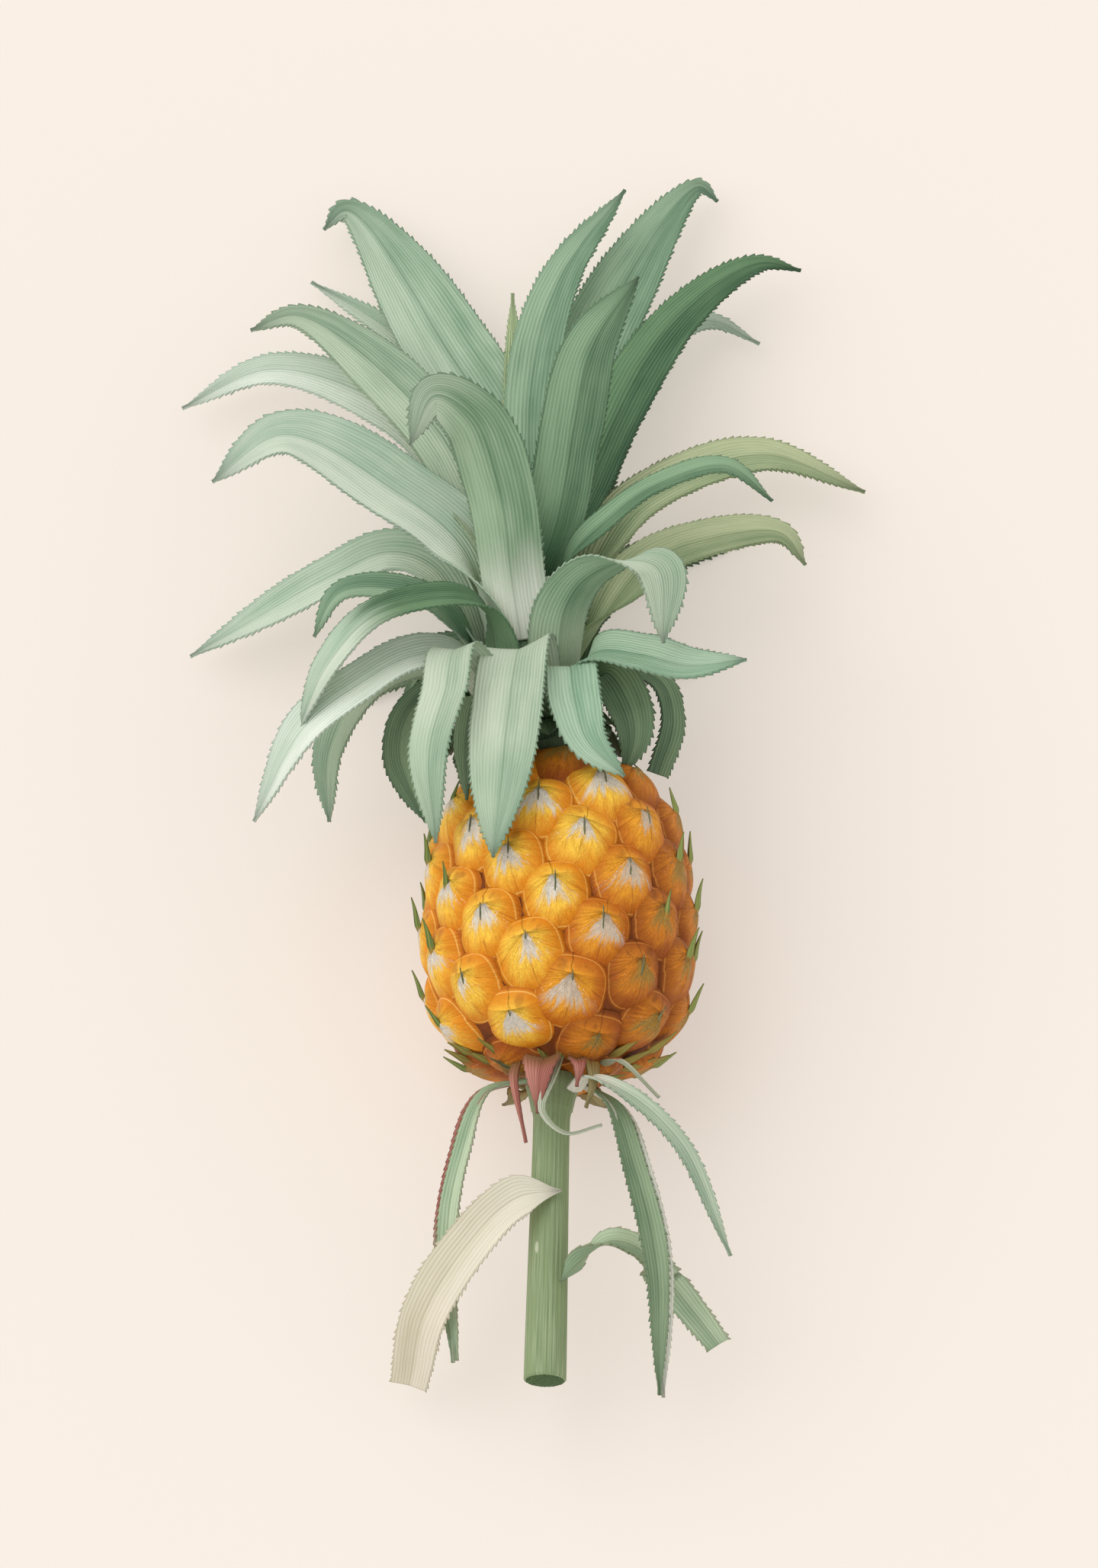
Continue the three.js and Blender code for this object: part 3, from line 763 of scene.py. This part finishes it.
def revolved(name, sides, heights, radii, frame_rule, relief_rule=None):
    """A closed turned shape: a grid is rolled into a tube, its seam and ends merged."""
    heights, radii = np.asarray(heights, float), np.asarray(radii, float)

    def rule(column, row):
        turn = 2 * math.pi * column / sides
        radius = radii[row] + (relief_rule(turn, heights[row], radii[row]) if relief_rule else 0)
        points = np.stack([radius * np.sin(turn), heights[row], radius * np.cos(turn)], axis=1)
        return into_place(frame_rule(points))

    piece, column, row = shaped_grid(name, sides, len(heights) - 1, rule)
    set_uv(piece.data, np.stack([column / sides * 36, heights[row] / 10], axis=1))
    bpy.ops.object.mode_set(mode="EDIT")
    bpy.ops.mesh.select_all(action="SELECT")
    bpy.ops.mesh.remove_doubles(threshold=0.00002)
    bpy.ops.mesh.normals_make_consistent(inside=False)
    bpy.ops.object.mode_set(mode="OBJECT")
    smooth(piece)
    return piece


SUNK = 1.5
angles = np.linspace(-math.pi / 2, math.pi / 2, 61)
barrel_heights = (FRUIT_HALF_LENGTH - SUNK) * np.sin(angles)
barrel_radii = np.sqrt(np.maximum(0, barrel_square(barrel_heights))) - SUNK
barrel_radii[[0, -1]] = 0
barrel = revolved("fruit_body", 90, barrel_heights, np.maximum(0, barrel_radii), fruit_frame)
# These values put the barrel in the crease band, so it takes the crease's painted shade.
CREASE_FLOOR = [0, -1.6, 1]
set_attribute(barrel.data, "eye", np.tile(CREASE_FLOOR, (len(barrel.data.vertices), 1)))
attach(barrel, "root")
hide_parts("fruit")

# %% [markdown]
# ## One eye
# Each eye is one fruitlet: a rounded shield about 30 mm across. A broad bract covers its
# lower part and ends in a papery point a little above the middle, and two uneven hollows lie
# over it. A square grid is rounded into the shield, and its height rule makes the swell,
# the bract's edge, its fold and the hollows. The same eye is then copied round the fruit.

# %% Eye template
EYE_CELLS = 40
EYE_HALF_WIDTH, EYE_TOP, EYE_FOOT = 16.0, 15.0, 19.5
EYE_SWELL, EYE_SINK, EYE_TILT = 3.6, 5.6, 1.3
POINT_AT = 5.5
EYE_HOLLOWS = (-5.4, 3.2, 0.9), (4.4, 4.6, 0.5)


def eye_rule(column, row):
    """The template's points in mm: x across, y to the crown, z above the barrel."""
    x, y = 2 * column / EYE_CELLS - 1, 2 * row / EYE_CELLS - 1
    across, along = x * np.sqrt(1 - y**2 / 2), y * np.sqrt(1 - x**2 / 2)
    out = np.maximum(np.hypot(across, along), 1e-6)
    reach = np.maximum(np.abs(x), np.abs(y))
    across, along = across / out * reach, along / out * reach
    squared = 1 + 0.09 * np.abs(np.sin(2 * np.arctan2(along, across))) ** 2
    a = across * squared * EYE_HALF_WIDTH
    b = along * squared * np.where(along > 0, EYE_TOP, EYE_FOOT)
    return np.stack([a, b, eye_height(a, b, reach)], axis=1)


def eye_height(a, b, reach):
    swell = EYE_SWELL - EYE_SINK * reach**3.4 + EYE_TILT * b / EYE_TOP
    edge = POINT_AT - 0.5 * np.abs(a) - 0.012 * a**2
    flap = smoothstep(edge - b, -0.5, 0.9) * 0.75
    fold = 0.45 * np.exp(-((a / 1.3) ** 2)) * smoothstep(POINT_AT - b, 0, 3)
    hollows = sum(
        depth * np.exp(-(((a - side) / 2.6) ** 2) - ((b - POINT_AT - over) / 1.8) ** 2)
        for side, over, depth in EYE_HOLLOWS
    )
    return swell + flap + fold - hollows


template, column, row = shaped_grid("eye_template", EYE_CELLS, EYE_CELLS, eye_rule)
template_points = eye_rule(column, row)
template_reach = np.maximum(np.abs(2 * column / EYE_CELLS - 1), np.abs(2 * row / EYE_CELLS - 1))
in_cm = template_points[:, :2] / 10
set_attribute(template.data, "eye", np.column_stack([in_cm, template_reach]))
smooth(template)
print("eye template:", len(template.data.polygons), "faces")

# %% [markdown]
# ## Where the eyes sit
# Fruitlets grow at the golden angle, which is why a pineapple shows 8 and 13 crossing
# spirals. Each copy of the eye is laid on the barrel: its points start on the plane that
# touches the barrel there, and are then let down along that plane's normal until they meet
# the barrel.

# %% Lay the eyes
EYE_COUNT, EYE_RISE, FIRST_EYE, FIRST_EYE_TURN, GOLDEN_ANGLE = 71, 2.02, -71.5, 79, 137.508


def outside(points):
    """Below 0 inside the barrel and above 0 outside it."""
    return points[..., 0] ** 2 + points[..., 2] ** 2 - barrel_square(points[..., 1])


def barrel_seat(turn, y):
    """A place on the barrel, and its right, crownward and outward directions."""
    middle = around(turn, math.sqrt(max(0.0, float(barrel_square(y)))), y)
    slope = float(barrel_square(y + 0.01) - barrel_square(y - 0.01)) / 0.02
    normal = np.array([2 * middle[0], -slope, 2 * middle[2]])
    normal = normal / np.linalg.norm(normal)
    crownward = np.array([0.0, 1.0, 0.0]) - normal * normal[1]
    crownward = crownward / np.linalg.norm(crownward)
    return middle, np.cross(crownward, normal), crownward, normal


def laid_on_barrel(local, seat):
    """Local points (across, crownward, height) laid on the barrel round a seat."""
    middle, right, crownward, normal = seat
    flat = middle + local[:, :1] * right + local[:, 1:2] * crownward
    low, high = np.full(len(flat), -30.0), np.full(len(flat), 8.0)
    for _ in range(24):
        mid = (low + high) / 2
        out = outside(flat + mid[:, None] * normal) > 0
        high, low = np.where(out, mid, high), np.where(out, low, mid)
    return flat + (low + local[:, 2])[:, None] * normal


def joined(pieces, name):
    """Several pieces as one."""
    bpy.ops.object.select_all(action="DESELECT")
    for piece in pieces:
        piece.select_set(True)
    bpy.context.view_layer.objects.active = pieces[0]
    bpy.ops.object.join()
    made = bpy.context.object
    made.name = made.data.name = name
    return made


def copy_of(piece):
    """A copy with its own mesh."""
    made = piece.copy()
    made.data = piece.data.copy()
    bpy.context.collection.objects.link(made)
    return made


seats = [
    barrel_seat(FIRST_EYE_TURN - GOLDEN_ANGLE * k, FIRST_EYE + EYE_RISE * k) for k in range(EYE_COUNT)
]
CELL, EYES_IN_ROW = (5.1, 6.3), 9
GOLD_BELOW, AMBER_BELOW = -0.05, 0.38
eye_dice = np.random.default_rng(11)
groups = {"gold": [], "amber": [], "russet": []}


def ripeness_and_shade(seat):
    """One side and the middle are gold, and the other side and both ends are deeper. The deeper right
    side is partly painted shade, away from the light at the upper left, and partly a deeper hue.
    """
    x, y, z = seat[0]
    deep = 0.9 * x / FRUIT_RADIUS - 0.35 * y / FRUIT_HALF_LENGTH - 0.35 * z / FRUIT_RADIUS
    ends = 1.6 * smoothstep(-y, 60, 68) + 1.1 * smoothstep(y, 48, 60)
    return deep + ends + eye_dice.uniform(-0.12, 0.12)


for k, seat in enumerate(seats):
    size, lean = eye_dice.uniform(0.95, 1.09), math.radians(eye_dice.uniform(-15, 15))
    c, s = math.cos(lean) * size, math.sin(lean) * size
    local = template_points @ np.array([[c, s, 0], [-s, c, 0], [0, 0, 1]])
    lump = eye_dice.uniform(0, 6, 4)
    local[:, 2] += 0.35 * np.sin(local[:, 0] / 3.3 + lump[0]) * np.sin(local[:, 1] / 3.9 + lump[1])
    eye = copy_of(template)
    set_points(eye.data, into_place(laid_on_barrel(local, seat)))
    set_uv(eye.data, in_cm + np.array(CELL) * (k % EYES_IN_ROW, k // EYES_IN_ROW))
    deep = ripeness_and_shade(seat)
    groups["gold" if deep < GOLD_BELOW else "amber" if deep < AMBER_BELOW else "russet"].append(eye)
bpy.data.objects.remove(template)
print({name: len(eyes) for name, eyes in groups.items()})

# %% [markdown]
# ## Rind finish
# The rind is waxy and golden. From each bract's point a grey papery fan spreads downwards
# with white specks, fine fibres run from it to the eye's edge, and a thin pale line follows
# the rim. Each eye also gets a painted highlight on the upper left of its swell, and painted
# shade towards its edge, in its hollows, along the bract's edge and fold, and in the creases.
# A white noise gives each eye its own fan. The pattern group gives these as masks, and three
# finishes colour them: gold, amber and russet, the deeper two partly as painted shade on the
# right side.

# %% Eye pattern group
eye_pattern, given, answer = new_group(
    "eye_pattern",
    [("UV", "NodeSocketVector"), ("Eye", "NodeSocketVector")],
    floats("PaintedHighlight", "Hatch", "Fan", "Specks", "Rim", "Edge", "Crease", "Hollows", "Stipple", "Lines"),
)
tree = eye_pattern
eye = split_xyz(tree, given["Eye"])
uv = split_xyz(tree, given["UV"])
cell = [
    sums(tree, "FLOOR", sums(tree, "ADD", sums(tree, "DIVIDE", uv[i], gap), 0.5))
    for i, gap in enumerate(CELL)
]
chance = add_node(tree, "ShaderNodeTexWhiteNoise", {"Vector": join_xyz(tree, *cell)})
chance = split_xyz(tree, chance.outputs["Color"])
wobble = noise(tree, given["UV"], 1.5, 3.0)
width_out = sums(tree, "ABSOLUTE", eye[0])

# How far down from the bract's point, how far aside, and the angle round the point.
POINT = POINT_AT / 10
down = sums(tree, "SUBTRACT", POINT + 0.12, eye[1])
aside = nudged(tree, chance[0], 0.35, eye[0])
aside = nudged(tree, wobble, 0.5, aside)
angle = sums(tree, "ARCTAN2", aside, sums(tree, "MAXIMUM", down, 0.001))
fibres = noise(tree, join_xyz(tree, times(tree, angle, 7.0), times(tree, down, 0.7), cell[0]), 1.0, 3.0)
stroke = join_xyz(tree, times(tree, angle, 26.0), times(tree, down, 2.2), cell[1])
tree.links.new(step(tree, noise(tree, stroke, 1.0, 2.0), 0.42, 0.66), answer["Hatch"])

# Painted highlight: the top of the swell is painted brighter, leaning to the light at the upper left.
painted_highlight = sums(tree, "MULTIPLY_ADD", eye[0], 0.17, eye[2])
painted_highlight = sums(tree, "MULTIPLY_ADD", eye[1], -0.06, painted_highlight)
painted_highlight = nudged(tree, wobble, 0.9, painted_highlight)
painted_highlight = nudged(tree, fibres, -0.8, painted_highlight)
tree.links.new(step(tree, painted_highlight, 1.05, 0.3), answer["PaintedHighlight"])

# The papery fan below the point, and its specks.
opening = sums(tree, "MULTIPLY_ADD", chance[1], 0.35, 0.5)
spread = sums(tree, "MULTIPLY_ADD", sums(tree, "MAXIMUM", down, 0.0), opening, 0.05)
spread = sums(tree, "DIVIDE", sums(tree, "ABSOLUTE", aside), spread)
spread = nudged(tree, fibres, 1.5, spread)
fan = times(tree, step(tree, spread, 1.25, 0.65), step(tree, down, 0.0, 0.12))
reach_down = nudged(tree, fibres, 2.0, down)
reach_down = sums(tree, "MULTIPLY_ADD", chance[2], -0.45, reach_down)
tree.links.new(times(tree, fan, step(tree, reach_down, 1.15, 0.45)), answer["Fan"])
dots = add_node(tree, "ShaderNodeTexVoronoi", {"Vector": given["UV"], "Scale": 7.0}).outputs["Distance"]
near = times(tree, step(tree, spread, 1.9, 0.8), step(tree, down, 0.1, 0.3))
near = times(tree, near, step(tree, down, 1.3, 0.8))
tree.links.new(times(tree, step(tree, dots, 0.26, 0.14), near), answer["Specks"])

# The bands round the eye's edge: a pale rim line, the swell painted darker towards its edge as shade,
# and the crease.
rim = times(tree, step(tree, eye[2], 0.855, 0.87), step(tree, eye[2], 0.895, 0.88))
tree.links.new(rim, answer["Rim"])
# Painted shade: the swell darkens towards the eye's edge, as it turns from the light.
tree.links.new(step(tree, eye[2], 0.45, 0.95), answer["Edge"])
# Painted shade deepens the crease between eyes, over a dark reddish-brown line of its own.
tree.links.new(step(tree, eye[2], 0.88, 0.96), answer["Crease"])

# The hollows over the point, painted dark as shade, the stipple, and the fold lines along the bract's
# edge and down its middle, painted dark as shadow.
side = sums(tree, "SUBTRACT", sums(tree, "ABSOLUTE", aside), 0.5)
over = sums(tree, "SUBTRACT", eye[1], POINT + 0.34)
hollow = sums(tree, "ADD", times(tree, side, side), times(tree, over, over))
hollow = step(tree, nudged(tree, wobble, 0.3, hollow), 0.12, 0.0)
tree.links.new(times(tree, hollow, step(tree, wobble, 0.6, 0.4)), answer["Hollows"])
tree.links.new(step(tree, noise(tree, given["UV"], 9.0, 4.0), 0.35, 0.65), answer["Stipple"])
edge_line = sums(tree, "MULTIPLY_ADD", width_out, 0.62, eye[1])
edge_line = sums(tree, "ABSOLUTE", sums(tree, "SUBTRACT", edge_line, POINT + 0.05))
seam = times(tree, step(tree, width_out, 0.05, 0.01), step(tree, down, 0.4, 1.0))
fold_lines = sums(tree, "MAXIMUM", step(tree, edge_line, 0.06, 0.0), seam)
tree.links.new(times(tree, fold_lines, step(tree, wobble, 0.4, 0.6)), answer["Lines"])
print("eye pattern has", len(tree.nodes), "nodes")

# %% Rind finishes


SPECK_WHITE = "fbf4e6"


def rind_finish(name, body, highlight_colour, edge, fan, rim, dark, fan_share, speck_share):
    """One rind finish from its colours. Each mask lays its colour over the ones before it."""
    material, tree, shader = new_finish(name, 0.5, 0.2)
    masks = pattern_masks(tree, eye_pattern, "Eye", "eye")
    # The painted highlight lightens each eye's swell on its upper left.
    colour = blend(tree, masks["PaintedHighlight"], rgb(body), rgb(highlight_colour))
    # Edge, Hollows, Lines and Crease lay painted shade; the crease also has a dark line of its own.
    for mask, share, tint in (
        ("Stipple", 0.22, edge), ("Hatch", 0.24, edge), ("Edge", 0.7, edge), ("Hollows", 0.5, dark),
        ("Lines", 0.5, dark), ("Fan", fan_share, fan), ("Specks", speck_share, SPECK_WHITE),
        ("Rim", 0.5, rim), ("Crease", 0.62, dark),
    ):
        colour = blend(tree, times(tree, masks[mask], share), colour, rgb(tint))
    tree.links.new(colour, shader.inputs["Base Color"])
    relief(tree, shader, sums(tree, "MULTIPLY_ADD", masks["Stipple"], 0.5, masks["Hatch"]), FIBRE_DEPTH)
    return material


RIND_COLOURS = {
    "gold": ("ec9a1e", "ffd049", "d57a10", "dcd4c8", "fdd678", "a0520a", 0.95, 0.9),
    "amber": ("d27815", "f6aa2d", "b0570d", "cfc4b4", "f0b95c", "86420a", 0.85, 0.7),
    "russet": ("b05a12", "dc8722", "8c440c", "8a8440", "dc9a48", "642f08", 0.6, 0.2),
}
RINDS = {name: rind_finish("rind_" + name, *row) for name, row in RIND_COLOURS.items()}
barrel.data.materials.append(RINDS["russet"])
for name, eyes in groups.items():
    piece = joined(eyes, "fruit_eyes_" + name)
    piece.data.materials.append(RINDS[name])
    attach(piece, "root")
    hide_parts("fruit")
    print(piece.name, len(piece.data.polygons), "faces")

# %% [markdown]
# ## Spine tips
# The papery point of each bract carries on as a small spine. On the front it has dried to a
# thin dark thread, and towards the sides and the back it is longer, broad and green. One rule
# shapes a small keeled blade, and each spine stretches it as its eye needs. Points that would
# go below the table are pressed flat on it.

# %% Spines
SPINE_ROWS, SPINE_COLUMNS, SPINE_THICKNESS = 12, 4, 0.5


def spine_rule(column, row):
    """A pointed blade 1 mm long from the origin, folded along its middle like a keel."""
    t, s = row / SPINE_ROWS, 1 - 2 * column / SPINE_COLUMNS
    half = 0.5 * np.maximum(0.03, (1 - t) ** 0.85 * np.minimum(1, 0.3 + 1.8 * t))
    return np.stack([s * half, t, 0.7 * half * (1 - np.abs(s)) * np.minimum(1, 3 * t)], axis=1)


def spine_at(seat, start, length, width, lift, above=0.0):
    """One spine laid on the barrel from a seat towards the crown, lifted at its tip."""
    piece, column, row = shaped_grid("spine", SPINE_COLUMNS, SPINE_ROWS, spine_rule)
    local = spine_rule(column, row)
    t = local[:, 1]
    points = np.stack([local[:, 0] * width, start + t * length, np.zeros(len(t))], axis=1)
    points[:, 2] = EYE_SWELL + above + local[:, 2] * width + lift * t**2
    placed = into_place(laid_on_barrel(points, seat))
    placed[:, 2] = np.maximum(placed[:, 2], SPINE_THICKNESS * MM)
    set_points(piece.data, placed)
    set_uv(piece.data, np.stack([local[:, 0] * width / 10, t * length / 10], axis=1))
    share = 1 - 2 * column / SPINE_COLUMNS
    set_attribute(piece.data, "blade", np.stack([share, t, np.zeros(len(t))], axis=1))
    apply_modifier(piece, "SOLIDIFY", thickness=SPINE_THICKNESS * MM, offset=0)
    smooth(piece)
    return piece


spine_dry = ("4d5538", "8b8a68")
thread_finish = leaf_finish("spine_thread", spine_dry, spine_dry, "6f6f50", "43452c", 0.3)
spine_green = ("5c6c30", "929c54")
green_finish = leaf_finish("spine_green", spine_green, spine_green, "cf7f1c", "4a4f22", 1.0)
GREEN_FROM = 0.35
threads, greens = [], []
for seat in seats:
    side = abs(seat[0][0]) / FRUIT_RADIUS
    rear = smoothstep(-seat[0][2] / FRUIT_RADIUS, -0.45, 0.3)
    green = max(smoothstep(side, 0.62, 0.95), rear)
    length = 9 + 10 * green + eye_dice.uniform(-1, 1.5)
    width, lift = 1.3 + 7.2 * green, 0.3 + 4.6 * green
    piece = spine_at(seat, POINT_AT - 7 + green, length, width, lift, 0.9 - 0.9 * green)
    (greens if green > GREEN_FROM else threads).append(piece)
for pieces, name, finish in (
    (threads, "spines_dry", thread_finish), (greens, "spines_green", green_finish)
):
    piece = joined(pieces, name)
    piece.data.materials.append(finish)
    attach(piece, "root")
    print(name, len(pieces))

# %% [markdown]
# ## Bracts under the fruit
# Where the fruit meets the stalk it sits in a ruff of small olive bracts that lie against
# its underside with their points outwards. They are the same keeled blade, in three rings
# round the axis. The outer rings are spared where larger bracts hang over the front.

# %% Ruff
# Count, height, length, width, lift, and how far from the back the ring reaches, in degrees.
RUFF = [(22, -71.5, 12, 8, 1.0, 180), (20, -69, 17, 9, 3.0, 125), (18, -64, 17, 9, 4.0, 110)]
RUFF_DEPTH, RING_RISE = -EYE_SWELL - 1.0, 1.5
ruff_green = ("6f6a2c", "a4934a")
ruff_finish = leaf_finish("ruff_olive", ruff_green, ruff_green, "9c5414", "5a4f1e", 0.9)
ruff_dice = np.random.default_rng(5)
ruff = []
for ring, (count, y, length, width, lift, reaches) in enumerate(RUFF):
    for i in range(count):
        turn = 360 * (i + 0.5 * ring) / count + ruff_dice.uniform(-6, 6)
        longer = ruff_dice.uniform(0.8, 1.2)
        if abs(turn % 360 - 180) <= reaches:
            seat, above = barrel_seat(turn, y), RUFF_DEPTH + RING_RISE * ring
            ruff.append(spine_at(seat, 0, length * longer, width, lift, above))
piece = joined(ruff, "bract_ruff")
piece.data.materials.append(ruff_finish)
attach(piece, "root")
print("ruff of", len(ruff))

# %% [markdown]
# ## Crown core
# The leaves grow from a short stem. It hardly shows between them, but short dark leaves
# clasp its foot over the shoulder of the fruit.

# %% Core and foot leaves
core_heights = [0, 0, 4, 12, 28, 45, 60, 72, 84, 96, 99]
core_radii = [0, 19, 19.6, 20, 19, 18, 15.6, 13, 9.5, 6, 0]
core = revolved("crown_stem", 48, core_heights, core_radii, crown_frame)
core.data.materials.append(FINISHES["shade"])
set_attribute(core.data, "blade", np.tile([0.3, 0.8, 0], (len(core.data.vertices), 1)))
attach(core, "root")
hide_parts("crown_core")

FOOT_LEAVES = 16
foot_dice = np.random.default_rng(8)
foot_leaves = []
for i in range(FOOT_LEAVES):
    turn = i * GOLDEN_ANGLE
    length = foot_dice.uniform(26, 36)
    base = 2 + 0.5 * i
    middle = around(turn, 29 + 0.3 * i, base + 6)
    tip = around(turn + foot_dice.uniform(-8, 8), 36 + 0.4 * i, base - 6 + length * 0.1)
    row = ["foot", turn, base, 18, 0, middle, tip]
    foot_leaves.append(make_blade("foot_leaf", row, crown_frame, core_radius, 130 + i))
piece = joined(foot_leaves, "crown_foot_leaves")
piece.data.materials.append(FINISHES["shade"])
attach(piece, "root")
print(len(foot_leaves), "foot leaves")

# %% [markdown]
# ## Stalk
# The stalk is round and finely ribbed, widens to a neck under the fruit and ends in a clean
# cut, darker than its skin. It is turned like the barrel, with its end closed, and the ribs
# are part of its height rule. Its skin has one small pale oval.

# %% Stalk
foot_heights, foot_radii = [-139, -139, -139, -138.4], [0, 4.5, 8.4, STALK_RADIUS]
neck_heights = [-24, -18, -15.5, -14.6, -13.8, -12, -9, -5, 0, 0]
neck_radii = [7.9, 7.9, 8.3, 9.0, 9.0, 9.4, 10, 11.2, STALK_NECK_RADIUS, 0]
stalk_heights = [*foot_heights, *np.linspace(-137, -30, 60), *neck_heights]
stalk_radii = [*foot_radii, *np.linspace(STALK_RADIUS, 7.9, 60), *neck_radii]


def ribs(turn, height, radius):
    """Low ribs that fade out on the cut end."""
    return np.where(radius > 7, 0.16 * np.cos(26 * turn) + 0.08 * np.cos(11 * turn + height / 30), 0)


stalk = revolved("stalk_bark", 156, stalk_heights, stalk_radii, stalk_frame, ribs)
BARK_DEPTH = 0.0003
PALE_OVAL_ROUND, PALE_OVAL_BELOW, PALE_OVAL_WIDTH, PALE_OVAL_LENGTH = 32.4, 8.0, 0.75, 0.32
skin, tree, shader = new_finish("stalk_skin", 0.45, 0.35)
uv_map = add_node(tree, "ShaderNodeUVMap", uv_map="UVMap").outputs[0]
uv = split_xyz(tree, uv_map)
fibre = noise(tree, scaled(tree, uv, 4.0, 0.3), 1.0, 3.0)
patch = noise(tree, scaled(tree, uv, 0.3, 0.25), 1.0, 2.0)
colour = blend(tree, step(tree, fibre, 0.35, 0.65), rgb("74895f"), rgb("9cac84"))
colour = blend(tree, step(tree, patch, 0.4, 0.7), colour, rgb("85986b"))
oval_across = sums(tree, "DIVIDE", sums(tree, "SUBTRACT", uv[0], PALE_OVAL_ROUND), PALE_OVAL_WIDTH)
oval_along = sums(tree, "DIVIDE", sums(tree, "ADD", uv[1], PALE_OVAL_BELOW), PALE_OVAL_LENGTH)
pale_oval = sums(tree, "ADD", times(tree, oval_across, oval_across), times(tree, oval_along, oval_along))
# A small pale oval on the left of the stalk.
colour = blend(tree, step(tree, pale_oval, 1.0, 0.3), colour, rgb("c3cbaf"))
tree.links.new(colour, shader.inputs["Base Color"])
relief(tree, shader, fibre, BARK_DEPTH)
stalk.data.materials.append(skin)

cut, tree, shader = new_finish("stalk_cut", 0.7, 0.2)
spot = add_node(tree, "ShaderNodeTexCoord").outputs["Object"]
speckle = noise(tree, spot, 900.0, 3.0)
colour = blend(tree, step(tree, speckle, 0.35, 0.65), rgb("354f2c"), rgb("4d6a3c"))
tree.links.new(colour, shader.inputs["Base Color"])
relief(tree, shader, speckle, BARK_DEPTH)
stalk.data.materials.append(cut)
cut_level = cut_middle[1] + 0.0006
for face in stalk.data.polygons:
    if face.center.y < cut_level and abs(face.normal.y) > 0.9:
        face.material_index = 1
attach(stalk, "root")
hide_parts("stalk")

# %% [markdown]
# ## Finish
# The detailed model is meant to fill the same box as the solid one. This last step leaves
# nothing selected.

bpy.ops.object.select_all(action="DESELECT")
